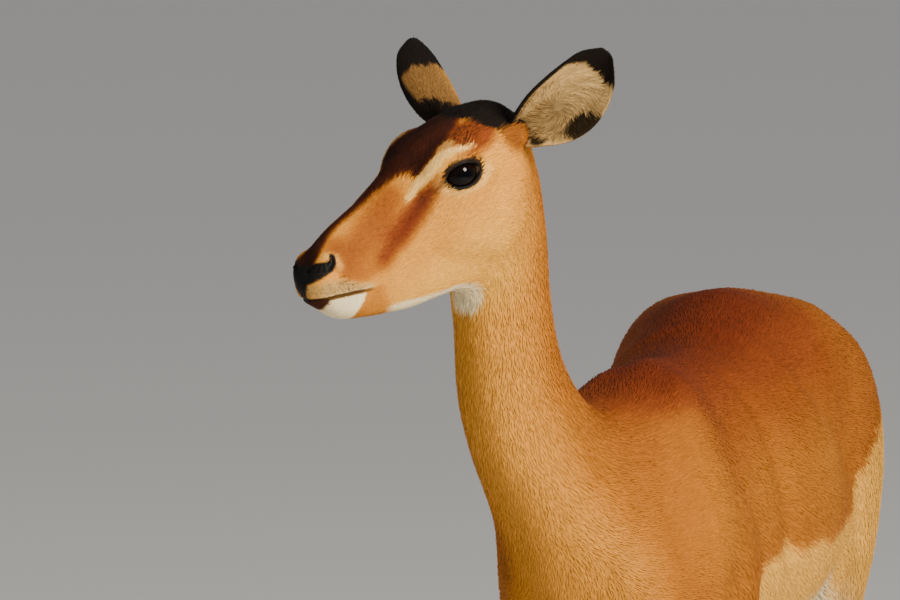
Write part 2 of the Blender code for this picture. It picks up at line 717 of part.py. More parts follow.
# ---------------------------------------------------------------- building the ewe
def main():
    for obj in list(bpy.data.objects):
        bpy.data.objects.remove(obj)

    coat = material("tawny_coat", (0.55, 0.27, 0.10), 0.85)
    ear_coat = material("ear_coat", (0.42, 0.21, 0.09), 0.85)
    tail_coat = material("tail_coat", (0.70, 0.60, 0.48), 0.85)
    eye_gloss = material("eye_gloss", (0.012, 0.008, 0.006), 0.08)
    horn = material("hoof_horn", (0.035, 0.030, 0.028), 0.45)

    whole = whole_body(voxel=0.007)
    fine = thinned(whole, "fine_body", 0.17)
    slim = thinned(whole, "slim_body", 0.082)
    coarse = thinned(whole, "coarse_body", 0.038)
    whole.hide_render = True
    whole.display_type = "WIRE"

    pieces = body_pieces(fine, coarse, slim)
    coats = {name: coat for name in pieces}

    for side, word in ((1, "left"), (-1, "right")):
        ball = eye(side, f"eye_{word}")
        cut(pieces["head"], swollen(ball, f"eye_{word}_clearance", GAP), "DIFFERENCE")
        pieces[f"eye_{word}"], coats[f"eye_{word}"] = ball, eye_gloss

    head_grown = swollen(pieces["head"], "head_clearance", 2 * GAP)
    neck_grown = swollen(pieces["neck"], "neck_clearance", 2 * GAP)
    for side, word in ((1, "left"), (-1, "right")):
        leaf = ear(side, f"ear_{word}")
        cut(leaf, head_grown, "DIFFERENCE")
        cut(leaf, neck_grown, "DIFFERENCE")
        keep_largest(leaf)
        pieces[f"ear_{word}"], coats[f"ear_{word}"] = leaf, ear_coat

    bm = bmesh.new()
    tail_form().add_mesh(bm, around=10, every=6)
    tail = object_from("tail", bm)
    cut(tail, swollen(pieces["trunk"], "trunk_clearance", 3 * GAP), "DIFFERENCE")
    keep_largest(tail)
    pieces["tail"], coats["tail"] = tail, tail_coat

    for kind in ("fore", "hind"):
        for side, word in ((1, "left"), (-1, "right")):
            for outer, place in ((1, "outer"), (-1, "inner")):
                name = f"{kind}hoof_{word}_{place}"
                pieces[name], coats[name] = claw(kind, side, outer, name), horn

    for name, piece in pieces.items():
        finish_piece(piece, coats[name])
        print(name, len(piece.data.loop_triangles) or len(piece.data.polygons))

    # the origin: under the middle of the whole box, at the level of the soles
    corners = np.concatenate([points_of(piece.data) for piece in pieces.values()])
    low, high = corners.min(0), corners.max(0)
    shift = Vector((-(low[0] + high[0]) / 2, -(low[1] + high[1]) / 2, -low[2]))
    for piece in pieces.values():
        piece.data.transform(Matrix.Translation(shift))
    print("box", (high - low).round(4), "shift", [round(value, 5) for value in shift])


main()
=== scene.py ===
# %% [markdown]
# # A life-size impala ewe, finished as a museum model
#
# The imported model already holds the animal's true size and pose as plain solids. This script makes
# what those solids stand for: one skin with lids, nostrils and lips, wet dark eyes, horny claws, and
# a short coat of many small locks that lie along the body. Each step below says what the piece is on
# the animal, how it could be made, and why this way was chosen.

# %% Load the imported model
import json
import math

import bmesh
import bpy
import numpy as np
from mathutils import Matrix, Vector

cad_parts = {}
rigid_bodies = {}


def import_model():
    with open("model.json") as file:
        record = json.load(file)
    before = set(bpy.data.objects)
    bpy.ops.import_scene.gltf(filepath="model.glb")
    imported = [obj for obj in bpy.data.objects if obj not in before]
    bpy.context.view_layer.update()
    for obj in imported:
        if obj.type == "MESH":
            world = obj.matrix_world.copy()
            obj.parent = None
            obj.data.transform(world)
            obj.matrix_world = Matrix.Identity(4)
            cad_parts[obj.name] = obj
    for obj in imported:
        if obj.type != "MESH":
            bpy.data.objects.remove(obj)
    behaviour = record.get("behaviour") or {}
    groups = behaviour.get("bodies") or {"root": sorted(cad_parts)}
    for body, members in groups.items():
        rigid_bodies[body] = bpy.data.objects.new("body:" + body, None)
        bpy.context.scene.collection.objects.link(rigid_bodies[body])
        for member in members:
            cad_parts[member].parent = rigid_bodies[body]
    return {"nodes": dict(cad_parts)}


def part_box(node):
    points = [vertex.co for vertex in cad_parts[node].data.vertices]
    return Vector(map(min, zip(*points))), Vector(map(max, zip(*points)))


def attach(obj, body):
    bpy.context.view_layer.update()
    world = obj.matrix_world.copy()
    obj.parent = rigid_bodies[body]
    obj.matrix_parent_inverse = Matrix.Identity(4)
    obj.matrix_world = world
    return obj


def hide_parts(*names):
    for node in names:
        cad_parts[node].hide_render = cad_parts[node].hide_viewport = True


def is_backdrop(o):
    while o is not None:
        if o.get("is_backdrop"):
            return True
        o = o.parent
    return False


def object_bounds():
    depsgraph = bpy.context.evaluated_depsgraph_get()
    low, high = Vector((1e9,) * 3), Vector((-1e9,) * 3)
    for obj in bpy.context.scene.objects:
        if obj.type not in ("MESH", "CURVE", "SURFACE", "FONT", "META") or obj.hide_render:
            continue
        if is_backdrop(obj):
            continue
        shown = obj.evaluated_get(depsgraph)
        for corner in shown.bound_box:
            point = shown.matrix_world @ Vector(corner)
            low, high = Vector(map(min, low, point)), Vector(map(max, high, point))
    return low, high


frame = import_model()
CAD_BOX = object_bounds()
rng = np.random.default_rng(7)
print("nodes in the frame:", len(frame["nodes"]))

# %% [markdown]
# ## Where the head is
#
# Most of the fine work is on the face, so places there are given in head space: x runs forward along
# the nose line, y to her left and z up, and the zero is midway between the eyes. One matrix brings
# them into the body's space, where she faces -Y and her left side is +X.

# %% Head space
HEAD_YAW = math.radians(40)  # turned to her right
HEAD_PITCH = math.radians(35)  # nose down
HEAD_PLACE = Vector((-0.124, -0.500, 1.100))
EYE_RADIUS = 0.0190
EYE_PLACE = np.array((0.0050, 0.0372, 0.0028))


def head_turn():
    """Its columns are the ways along the nose, to her left and out of her crown."""
    ahead = Vector((-math.sin(HEAD_YAW), -math.cos(HEAD_YAW), 0))
    up = Vector((0, 0, 1))
    forward = ahead * math.cos(HEAD_PITCH) - up * math.sin(HEAD_PITCH)
    crown = ahead * math.sin(HEAD_PITCH) + up * math.cos(HEAD_PITCH)
    return np.array(Matrix((forward, crown.cross(forward), crown)).transposed())


HEAD_TURN = head_turn()


def in_head(point):
    """A place in head space, as a place in the body's space."""
    return np.array(HEAD_PLACE) + HEAD_TURN @ np.asarray(point, float)


def head_way(direction):
    """A direction in head space, as one in the body's space."""
    return HEAD_TURN @ np.asarray(direction, float)


def to_head(points):
    """Places in the body's space, as places in head space."""
    return (points - np.array(HEAD_PLACE)) @ HEAD_TURN


eye_low, eye_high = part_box("eye_left")
SHIFT = (eye_low + eye_high) / 2 - Vector(in_head(EYE_PLACE))
print("the body's space is moved by", [round(v, 4) for v in SHIFT], "into the frame")

# %% [markdown]
# ## Forms and their field
#
# An animal's outline is a few long bodies of changing section, with muscles bulging over them. Each
# long body is a loft: egg-shaped rings on a smooth spine. Each muscle is an ellipsoid. Instead of
# joining meshes, every form gives a number at any point, below zero inside it, and a smooth minimum
# of those numbers melts them together the way flesh does. Sculpting by hand could do the same, but a
# field can be asked for the body's surface anywhere, at any fineness, and for the way the hair lies.


# %% Smooth curves through stations
def smooth_table(rows, per_span=10):
    """Rows of numbers, one per station, turned into many rows on smooth curves through them."""
    rows = np.array(rows, float)
    slopes = np.gradient(rows, axis=0)
    steps = np.linspace(0, len(rows) - 1, per_span * (len(rows) - 1) + 1)
    low = np.minimum(steps.astype(int), len(rows) - 2)
    t = (steps - low)[:, None]
    return (
        (2 * t**3 - 3 * t**2 + 1) * rows[low]
        + (t**3 - 2 * t**2 + t) * slopes[low]
        + (3 * t**2 - 2 * t**3) * rows[low + 1]
        + (t**3 - t**2) * slopes[low + 1]
    )


def unit(vectors):
    return vectors / np.maximum(np.linalg.norm(vectors, axis=-1, keepdims=True), 1e-9)


print("three stations give", len(smooth_table([(0,), (1,), (0,)])), "rows")

# %% Lofts
THINNEST = 0.0015  # a loft's half width or height never gets below this
SQUARENESS = (1.3, 4.0)  # the least and most square rings
REACH = 0.05  # how far outside its surface a form is still asked for its field


class Loft:
    """Egg-shaped rings along a spine. grain is 1 where the hair runs from the first ring to the last.

    A station is x, y, z, half width, height above the spine, depth below it, and the squareness of
    the upper and lower halves (2 is an ellipse).
    """

    def __init__(self, stations, up, blend=0.02, grain=1):
        table = smooth_table([tuple(row) + (2.0,) * (8 - len(row)) for row in stations])
        ups = np.array(up, float)
        if ups.ndim == 1:
            ups = np.tile(ups, (len(stations), 1))
        ups = smooth_table(ups)
        self.centre = table[:, :3]
        self.size = np.maximum(table[:, 3:6], THINNEST)
        self.square = np.clip(table[:, 6:8], *SQUARENESS)
        steps = np.gradient(self.centre, axis=0)
        self.step = np.linalg.norm(steps, axis=1)
        self.run = np.concatenate([[0], np.cumsum(np.linalg.norm(np.diff(self.centre, axis=0), axis=1))])
        self.along = unit(steps)
        self.up = unit(ups - (ups * self.along).sum(1, keepdims=True) * self.along)
        self.side = np.cross(self.along, self.up)
        self.blend, self.grain = blend, grain
        reach = self.size.max() + REACH
        self.low, self.high = self.centre.min(0) - reach, self.centre.max(0) + reach

    def local(self, p):
        """How far along the spine each point is, and its offsets across and above it."""
        near = ((self.centre**2).sum(1) - 2 * p @ self.centre.T).argmin(1)
        last = len(self.centre) - 1
        ahead = ((p - self.centre[near]) * self.along[near]).sum(1) / self.step[near]
        place = np.clip(near + ahead, 0, last)
        low = np.minimum(place.astype(int), last - 1)
        part = (place - low)[:, None]

        def at(table):
            return table[low] * (1 - part) + table[low + 1] * part

        away = p - at(self.centre)
        ended = (place <= 0) | (place >= last)
        beyond = np.where(ended, np.abs((away * at(self.along)).sum(1)), 0)
        return at, (away * at(self.side)).sum(1), (away * at(self.up)).sum(1), beyond

    def field(self, p):
        at, across, rise, beyond = self.local(p)
        size, square = at(self.size), at(self.square)
        above = rise > 0
        height = np.where(above, size[:, 1], size[:, 2])
        power = np.where(above, square[:, 0], square[:, 1])
        across = np.abs(across)
        ratio = ((across / size[:, 0]) ** power + (np.abs(rise) / height) ** power) ** (1 / power)
        reach = np.hypot(across, rise)
        least = np.minimum(size[:, 0], height)
        inside = reach - np.where(ratio > 0.05, reach / np.maximum(ratio, 0.05), least)
        return np.where(beyond > 0, np.hypot(np.maximum(inside, 0), beyond), inside)

    def add_mesh(self, bm, around=24, every=3):
        rings = []
        for i in list(range(0, len(self.centre) - 1, every)) + [len(self.centre) - 1]:
            ring = []
            for angle in np.linspace(0, math.tau, around, endpoint=False):
                c, s = math.cos(angle), math.sin(angle)
                half = 1 if s > 0 else 2
                power = self.square[i, half - 1]
                grow = (abs(c) ** power + abs(s) ** power) ** (-1 / power)
                offset = self.side[i] * self.size[i, 0] * c + self.up[i] * self.size[i, half] * s
                ring.append(bm.verts.new(self.centre[i] + offset * grow))
            rings.append(ring)
        for first, second in zip(rings, rings[1:]):
            for k in range(around):
                m = (k + 1) % around
                bm.faces.new((first[k], first[m], second[m], second[k]))
        bm.faces.new(rings[0][::-1])
        bm.faces.new(rings[-1])


rod = Loft([(0, 0, 0, 0.02, 0.02, 0.02), (0, 0, 0.1, 0.02, 0.02, 0.02)], (0, 1, 0))
print("field of a rod of 20 mm radius, 5 mm inside it:", rod.field(np.array([(0, 0.015, 0.05)])))


# %% Muscles and the union of all forms
class Ball:
    """A muscle or bone as an ellipsoid: its long axis runs along long, its width along wide."""

    def __init__(self, centre, radii, long=(0, 0, 1), wide=(1, 0, 0), blend=0.02):
        long = unit(np.array(long, float))
        wide = np.array(wide, float)
        wide = unit(wide - (wide @ long) * long)
        self.axes = np.array([wide, np.cross(long, wide), long])
        self.centre, self.radii, self.blend = np.array(centre, float), np.array(radii, float), blend
        reach = self.radii.max() + REACH
        self.low, self.high = self.centre - reach, self.centre + reach

    def field(self, p):
        local = (p - self.centre) @ self.axes.T
        first = np.linalg.norm(local / self.radii, axis=1)
        second = np.linalg.norm(local / self.radii**2, axis=1)
        return first * (first - 1) / np.maximum(second, 1e-6)

    def add_mesh(self, bm):
        turn = Matrix(self.axes.T.tolist()).to_4x4()
        place = Matrix.Translation(self.centre) @ turn @ Matrix.Diagonal((*self.radii, 1))
        bmesh.ops.create_icosphere(bm, subdivisions=3, radius=1, matrix=place)


def field_of(forms, points):
    """Below zero inside the body: all the forms in one smooth union."""
    value = np.full(len(points), 1.0)
    for form in forms:
        near = np.all((points > form.low) & (points < form.high), axis=1)
        if not near.any():
            continue
        own, other = form.field(points[near]), value[near]
        overlap = np.maximum(form.blend - np.abs(own - other), 0) / form.blend
        value[near] = np.minimum(own, other) - overlap**2 * form.blend / 4
    return value


def both_sides(make):
    """What make builds for her left side, 1, and for her right side, -1."""
    return make(1) + make(-1)


ball = Ball((0, 0, 0), (0.02, 0.02, 0.02))
print("field of a ball of 20 mm radius, 5 mm outside it:", ball.field(np.array([(0, 0, 0.025)])))

# %% [markdown]
# ## The trunk, shoulders and haunches
#
# A ewe's trunk is deep behind the elbows, tucks up at the loins and is highest at the withers and the
# croup. Its loft has a station for each place where that outline changes. The shoulder blades, the
# triceps, the breast and the great muscles of the haunch lie over it as ellipsoids, one set per side.


# %% Trunk and its muscles
def trunk_forms():
    # y, back line, belly line, widest level, half width, squareness above and below
    sections = [
        (-0.368, 0.700, 0.640, 0.670, 0.034, 2.0, 2.0),
        (-0.335, 0.745, 0.588, 0.665, 0.064, 2.0, 2.0),
        (-0.265, 0.806, 0.540, 0.660, 0.090, 1.9, 2.0),
        (-0.160, 0.860, 0.514, 0.655, 0.106, 1.7, 2.0),
        (-0.040, 0.852, 0.504, 0.648, 0.130, 1.7, 2.0),
        (0.080, 0.850, 0.502, 0.648, 0.150, 1.9, 2.0),
        (0.180, 0.873, 0.524, 0.660, 0.149, 2.0, 2.0),
        (0.280, 0.902, 0.572, 0.705, 0.130, 2.0, 2.0),
        (0.360, 0.880, 0.620, 0.735, 0.108, 2.0, 2.0),
        (0.425, 0.836, 0.675, 0.745, 0.076, 2.0, 2.0),
        (0.468, 0.788, 0.715, 0.745, 0.034, 2.0, 2.0),
    ]
    return [Loft([(0, y, mid, half, top - mid, mid - low, sq_up, sq_down)
                  for y, top, low, mid, half, sq_up, sq_down in sections], (0, 0, 1))]


def muscle_forms(side):
    return [
        # shoulder blade, point of the shoulder, triceps and breast
        Ball((side * 0.070, -0.205, 0.725), (0.034, 0.066, 0.142), (side * 0.25, -0.5, -0.80), blend=0.035),
        Ball((side * 0.066, -0.294, 0.665), (0.030, 0.042, 0.070), (side * 0.1, -0.3, -1.0), blend=0.04),
        Ball((side * 0.092, -0.170, 0.620), (0.036, 0.056, 0.098), (0, 0.35, 1.0), blend=0.03),
        Ball((side * 0.034, -0.318, 0.640), (0.042, 0.040, 0.080), (0, 0.45, -1.0), blend=0.04),
        # croup, thigh, hamstrings and the fold of the flank
        Ball((side * 0.066, 0.306, 0.782), (0.059, 0.106, 0.080), (0, 0, 1), blend=0.04),
        Ball((side * 0.096, 0.356, 0.682), (0.057, 0.098, 0.138), (0, -0.30, -1.0), blend=0.04),
        Ball((side * 0.066, 0.412, 0.668), (0.044, 0.058, 0.140), (0, 0.08, -1.0), blend=0.03),
        Ball((side * 0.105, 0.262, 0.590), (0.030, 0.045, 0.075), (0, -0.2, 1.0), blend=0.04),
    ]


print("muscles on each side:", len(muscle_forms(1)))

# %% [markdown]
# ## Legs, neck, head and tail
#
# An impala's legs are thin rods of bone and tendon below the knee, so their rings are listed from the
# coronet up, with knee, fetlock and hock as swellings. A stride moves each hoof a little ahead or
# behind. The neck turns with the head, so its rings twist. The head's rings are its profile: top
# line, jaw line and half width at each distance along the nose.

# %% Legs
# how far each hoof is set back from its plain place
STRIDE = {"fore_left": -0.024, "fore_right": 0.030, "hind_left": 0.034, "hind_right": -0.026}
HOCK = 0.345  # height of the hock


def leg_forms(kind, side):
    """From the coronet up: x, y, z, half width, half depth in front and behind."""
    if kind == "fore":
        pivot = 0.56
        stations = [
            (0.066, -0.254, 0.030, 0.0190, 0.0190, 0.0170),
            (0.066, -0.248, 0.046, 0.0165, 0.0160, 0.0150),
            (0.066, -0.236, 0.068, 0.0145, 0.0140, 0.0140),
            (0.066, -0.224, 0.094, 0.0170, 0.0160, 0.0175),
            (0.066, -0.222, 0.122, 0.0130, 0.0130, 0.0150),
            (0.067, -0.222, 0.190, 0.0118, 0.0125, 0.0130),
            (0.067, -0.224, 0.262, 0.0135, 0.0145, 0.0145),
            (0.067, -0.226, 0.302, 0.0190, 0.0200, 0.0185),
            (0.068, -0.224, 0.345, 0.0170, 0.0180, 0.0190),
            (0.072, -0.215, 0.430, 0.0225, 0.0260, 0.0270),
            (0.078, -0.205, 0.505, 0.0300, 0.0380, 0.0440),
            (0.086, -0.205, 0.580, 0.0380, 0.0520, 0.0560),
            (0.088, -0.210, 0.640, 0.0360, 0.0500, 0.0550),
        ]
    else:
        pivot = 0.60
        stations = [
            (0.074, 0.384, 0.030, 0.0185, 0.0190, 0.0170),
            (0.074, 0.391, 0.046, 0.0160, 0.0160, 0.0150),
            (0.074, 0.403, 0.068, 0.0145, 0.0140, 0.0140),
            (0.074, 0.416, 0.095, 0.0170, 0.0160, 0.0180),
            (0.074, 0.420, 0.128, 0.0140, 0.0130, 0.0185),
            (0.074, 0.424, 0.195, 0.0120, 0.0130, 0.0145),
            (0.075, 0.430, 0.275, 0.0145, 0.0165, 0.0180),
            (0.076, 0.434, 0.325, 0.0185, 0.0220, 0.0210),
            (0.078, 0.428, 0.362, 0.0175, 0.0230, 0.0230),
            (0.084, 0.394, 0.430, 0.0240, 0.0330, 0.0400),
            (0.092, 0.352, 0.505, 0.0360, 0.0520, 0.0740),
            (0.094, 0.340, 0.585, 0.0470, 0.0760, 0.0950),
            (0.085, 0.345, 0.680, 0.0450, 0.0800, 0.0850),
        ]
    swing = STRIDE[f"{kind}_{'left' if side > 0 else 'right'}"]
    placed = []
    for x, y, z, half, front, back in stations:
        share = min(max((pivot - z) / pivot, 0.0), 1.0)
        placed.append((side * x, y + swing * share, z, half, front, back))
    forms = [Loft(placed, (0, -1, 0), blend=0.03, grain=-1)]
    if kind == "hind":
        hock = swing * (pivot - HOCK) / pivot
        forms.append(Ball((side * 0.076, 0.452 + hock, 0.354), (0.0110, 0.0120, 0.034),
                          (0, -0.30, 1.0), blend=0.020))
    return forms


print("rings in a hind leg:", len(leg_forms("hind", 1)[0].centre))


# %% Neck
def neck_forms():
    # x, y, z, half width, depth on the nape side, depth on the throat side
    stations = [
        (0.000, -0.160, 0.680, 0.070, 0.100, 0.120),
        (-0.020, -0.255, 0.728, 0.074, 0.088, 0.112),
        (-0.056, -0.330, 0.785, 0.066, 0.078, 0.090),
        (-0.080, -0.374, 0.860, 0.053, 0.070, 0.071),
        (-0.085, -0.408, 0.945, 0.044, 0.063, 0.058),
        (-0.087, -0.434, 1.030, 0.042, 0.062, 0.055),
        (-0.092, -0.450, 1.090, 0.041, 0.056, 0.055),
        (-0.104, -0.468, 1.118, 0.032, 0.034, 0.038),
    ]
    yaws = np.radians([0, 2, 8, 16, 25, 34, 40, 40])
    napes = [(math.sin(a), math.cos(a), 0.2) for a in yaws]
    return [Loft(stations, napes, blend=0.08, grain=-1)]


print("length of the neck's spine:", round(neck_forms()[0].run[-1], 3), "m")

# %% Head
# forward, top line, lower line, widest level, half width, squareness above and below
HEAD_PROFILE = [
    (0.197, 0.012, -0.010, 0.002, 0.0090, 2.0, 2.0),
    (0.189, 0.024, -0.022, 0.000, 0.0170, 2.1, 2.0),
    (0.174, 0.034, -0.043, -0.004, 0.0222, 2.1, 2.0),
    (0.150, 0.0375, -0.061, -0.010, 0.0240, 2.1, 1.9),
    (0.120, 0.0375, -0.079, -0.016, 0.0268, 2.0, 1.8),
    (0.090, 0.0375, -0.097, -0.020, 0.0315, 2.0, 1.8),
    (0.055, 0.0390, -0.115, -0.018, 0.0385, 2.0, 1.8),
    (0.020, 0.0440, -0.122, -0.012, 0.0460, 2.1, 1.8),
    (-0.020, 0.0430, -0.108, -0.008, 0.0490, 2.1, 1.8),
    (-0.055, 0.0310, -0.080, -0.010, 0.0450, 2.0, 1.9),
    (-0.078, 0.0160, -0.062, -0.016, 0.0350, 2.0, 2.0),
    (-0.090, 0.0000, -0.045, -0.020, 0.0180, 2.0, 2.0),
]


def head_ball(place, radii, long, blend=0.012):
    return Ball(in_head(place), radii, head_way(long), head_way((0, 1, 0)), blend)


def face_forms(side):
    return [
        # brow ridge, cheekbone and jaw muscle
        head_ball((0.010, side * 0.0360, 0.0190), (0.0165, 0.0180, 0.0320), (1, side * -0.25, -0.08), 0.016),
        head_ball((0.010, side * 0.0385, -0.0160), (0.0105, 0.0120, 0.0360), (1, side * -0.30, -0.15), 0.016),
        head_ball((0.012, side * 0.0270, -0.0560), (0.0150, 0.0300, 0.0480), (0.8, 0, 0.55), 0.022),
        # wing of the nostril, upper lip and lower lip
        head_ball((0.176, side * 0.0140, 0.0160), (0.0095, 0.0120, 0.0170), (1, side * -0.3, -0.35), 0.010),
        head_ball((0.166, side * 0.0140, -0.0100), (0.0100, 0.0130, 0.0270), (1, side * -0.25, 0.35)),
        head_ball((0.164, side * 0.0080, -0.0320), (0.0110, 0.0120, 0.0220), (1, side * -0.1, 0.45), 0.010),
    ]


def head_forms():
    stations = [(*in_head((ahead, 0, mid)), half, top - mid, mid - low, sq_up, sq_down)
                for ahead, top, low, mid, half, sq_up, sq_down in HEAD_PROFILE]
    nose_end = head_ball((0.183, 0, 0.003), (0.0195, 0.0165, 0.0165), (0, 0, 1), 0.010)
    return [Loft(stations, head_way((0, 0, 1)), blend=0.03), nose_end] + both_sides(face_forms)


print("forms in the head:", len(head_forms()))


# %% Tail, ear roots and the whole body
def tail_core():
    """The flesh of the tail is thin: most of what shows is its hair."""
    return Loft([
        (0, 0.425, 0.806, 0.016, 0.014, 0.014),
        (0, 0.470, 0.783, 0.012, 0.010, 0.010),
        (0, 0.488, 0.730, 0.009, 0.007, 0.007),
        (0, 0.494, 0.655, 0.008, 0.006, 0.006),
        (0, 0.493, 0.590, 0.006, 0.005, 0.005),
    ], (0, 1, 0.3), blend=0.012)


def ear_root_forms(side):
    """The muscle mound that the ear rises from."""
    return [head_ball((-0.068, side * 0.034, -0.010), (0.0150, 0.0170, 0.0230), (0, side * 0.9, 0.3), 0.02)]


BODY = (
    trunk_forms()
    + both_sides(muscle_forms)
    + both_sides(lambda side: leg_forms("fore", side))
    + both_sides(lambda side: leg_forms("hind", side))
    + neck_forms()
    + head_forms()
    + both_sides(ear_root_forms)
    + [tail_core()]
)
print("forms in the body:", len(BODY))

# %% [markdown]
# ## The fine shape of the face
#
# Eyes, nostrils and the mouth are hollows, so they are carved from the field: a smooth maximum with
# the negative of a hollow. The head is symmetric, so one side is described and the points of the
# other side are mirrored onto it. The ball of the eye swells the skin round it first, and the hollow
# then opens over the ball, a little smaller than the lids that will lie on its edge.

# %% Eye, nostril and mouth in the field
EYE_OUT = unit(np.array((0.20, 0.97, 0.12)))
EYE_FORE = unit(np.array((0.93, -0.17, 0.32)) - np.array((0.93, -0.17, 0.32)) @ EYE_OUT * EYE_OUT)
EYE_UP = np.cross(EYE_FORE, EYE_OUT)
SOCKET = (0.0202, 0.0124)  # half axes of the hollow, inside the lids
NOSTRIL = [((0.1865, 0.0110, 0.0235), 0.0022), ((0.1812, 0.0175, 0.0225), 0.0034),
           ((0.1765, 0.0212, 0.0200), 0.0038), ((0.1712, 0.0236, 0.0178), 0.0036),
           ((0.1660, 0.0232, 0.0188), 0.0030), ((0.1622, 0.0208, 0.0225), 0.0020)]
MOUTH = [((0.2020, 0.0000, -0.0030), 0.0012), ((0.1988, 0.0095, -0.0042), 0.0012),
         ((0.1918, 0.0172, -0.0078), 0.0012), ((0.1805, 0.0228, -0.0130), 0.0012),
         ((0.1629, 0.0254, -0.0222), 0.0012), ((0.1505, 0.0248, -0.0302), 0.0012),
         ((0.1405, 0.0244, -0.0352), 0.0017)]
PHILTRUM = [((0.2040, 0.0000, 0.0140), 0.0016), ((0.2040, 0.0000, -0.0010), 0.0016)]
LID_CREASE = [((0.0240, 0.0460, 0.0200), 0.0006), ((0.0100, 0.0530, 0.0255), 0.0012),
              ((-0.0060, 0.0550, 0.0225), 0.0012), ((-0.0220, 0.0540, 0.0080), 0.0006)]
TEAR_LINE = [((0.0270, 0.0475, 0.0100), 0.0030), ((0.0480, 0.0425, 0.0030), 0.0020)]
# the middle and half size of the box in head space that holds all of these
FACE_BOX = ((0.10, 0, 0), (0.14, 0.075, 0.07))
LID_DEPTH = 0.0020  # thickness of the lids over the ball
SWELL_BLEND = 0.008  # how softly the ball swells the face


def near_line(h, line):
    """Distance from points to a bent line of places and radii, below zero inside it."""
    best = np.full(len(h), 1.0)
    for (a, wide_a), (b, wide_b) in zip(line, line[1:]):
        a, b = np.array(a), np.array(b)
        t = np.clip((h - a) @ (b - a) / ((b - a) @ (b - a)), 0, 1)
        apart = np.linalg.norm(h - a - t[:, None] * (b - a), axis=1)
        best = np.minimum(best, apart - wide_a - t * (wide_b - wide_a))
    return best


def carve(value, hollow, blend):
    """Take a hollow, below zero inside, out of a body."""
    overlap = np.maximum(blend - np.abs(value + hollow), 0) / blend
    return np.maximum(value, -hollow) + overlap**2 * blend / 4


def eye_place(h):
    """Offsets from the eye's centre: forward, outward and up, in the eye's own frame."""
    q = h - EYE_PLACE
    return q @ EYE_FORE, q @ EYE_OUT, q @ EYE_UP


def with_face(value, points):
    """The field with the eye's swelling and the hollows of the face."""
    h = to_head(points)
    near = np.all(np.abs(h - FACE_BOX[0]) < FACE_BOX[1], axis=1)
    if not near.any():
        return value
    h, face = h[near], value[near]
    h[:, 1] = np.abs(h[:, 1])
    fore, out, up = eye_place(h)
    reach = np.sqrt(fore**2 + out**2 + up**2)
    swelling = reach - (EYE_RADIUS + LID_DEPTH)
    overlap = np.maximum(SWELL_BLEND - np.abs(face - swelling), 0) / SWELL_BLEND
    face = np.minimum(face, swelling) - overlap**2 * (SWELL_BLEND / 4)
    ring = (np.hypot(fore / SOCKET[0], up / SOCKET[1]) - 1) * SOCKET[1]
    face = carve(face, np.maximum(np.maximum(ring, EYE_RADIUS - 0.003 - reach), -out), 0.0015)
    for hollow, blend in ((NOSTRIL, 0.0020), (MOUTH, 0.0022), (PHILTRUM, 0.0020),
                          (LID_CREASE, 0.0030), (TEAR_LINE, 0.0050)):
        face = carve(face, near_line(h, hollow), blend)
    value = value.copy()
    value[near] = face
    return value


print("the hollow over the eye is", [round(2000 * half, 1) for half in SOCKET], "mm long and high")

# %% [markdown]
# ## One skin over everything
#
# The flesh is one piece on the animal, so its nodes get one skin. The rough meshes of all forms are
# joined, a voxel remesh turns them into one even net, the net is made finer on the head, finest round
# the eyes and the muzzle, and its points are drawn onto the field. The skin lies under the outline of
# the solids by the depth of the coat, which is least on the face and the feet. It sinks a little more
# where the hide falls in between muscles, as behind the shoulder, and that keeps the flank alive.

# %% Depth of the coat and folds of the hide
BODY_COAT, LEG_COAT, MUZZLE_COAT = 0.0032, 0.0016, 0.0004  # the head's is the legs' too
RIPPLE = 0.0008  # half height of the ripples over the shoulder


def ramp(x, start, end):
    """0 before start, 1 after end, smooth between them."""
    t = np.clip((x - start) / (end - start), 0, 1)
    return t * t * (3 - 2 * t)


def coat_depth(points):
    """How deep the coat is at each point."""
    h = to_head(points)
    on_head = ramp(h[:, 0], -0.12, -0.04) * ramp(points[:, 2], 0.92, 1.0)
    on_leg = 1 - ramp(points[:, 2], 0.42, 0.56)
    depth = BODY_COAT + (LEG_COAT - BODY_COAT) * np.maximum(on_head, on_leg)
    muzzle = on_head * ramp(h[:, 0], 0.09, 0.15)
    return depth + (MUZZLE_COAT - depth) * muzzle


# hollows of the hide and their depths: behind the shoulder, before the thigh, between neck and shoulder
FOLDS = [
    ([((0.060, 0.012, 0.822), 0.004), ((0.097, 0.012, 0.780), 0.009), ((0.124, -0.011, 0.711), 0.011),
      ((0.131, -0.020, 0.650), 0.009)], 0.0070),
    ([((0.112, 0.150, 0.800), 0.002), ((0.133, 0.212, 0.741), 0.006), ((0.144, 0.280, 0.680), 0.008),
      ((0.146, 0.293, 0.610), 0.008)], 0.0060),
    ([((0.066, -0.290, 0.790), 0.006), ((0.074, -0.320, 0.730), 0.010),
      ((0.086, -0.335, 0.680), 0.008)], 0.0045),
]


def hide_folds(points):
    """How far the hide sinks between the muscles, with soft ripples over the shoulder."""
    body = points * np.where(points[:, :1] < 0, (-1, 1, 1), 1)
    deep = np.zeros(len(points))
    for places, depth in FOLDS:
        deep = np.maximum(deep, depth * (1 - ramp(near_line(body, places), -0.008, 0.020)))
    shoulder = 1 - ramp(np.linalg.norm((body - (0.09, -0.21, 0.70)) / (0.07, 0.12, 0.13), axis=1), 0.6, 1.1)
    ripple = np.sin(body[:, 1] * 270 + 1.4 * np.sin(body[:, 2] * 31) + body[:, 0] * 90)
    return deep + RIPPLE * shoulder * (1 + ripple)


def skin_value(points):
    """Below zero under the skin, in metres close to it."""
    value = field_of(BODY, points)
    return with_face(value + coat_depth(points) + hide_folds(points), points)


print("deepest fold of the hide:", max(depth for places, depth in FOLDS) * 1000, "mm")


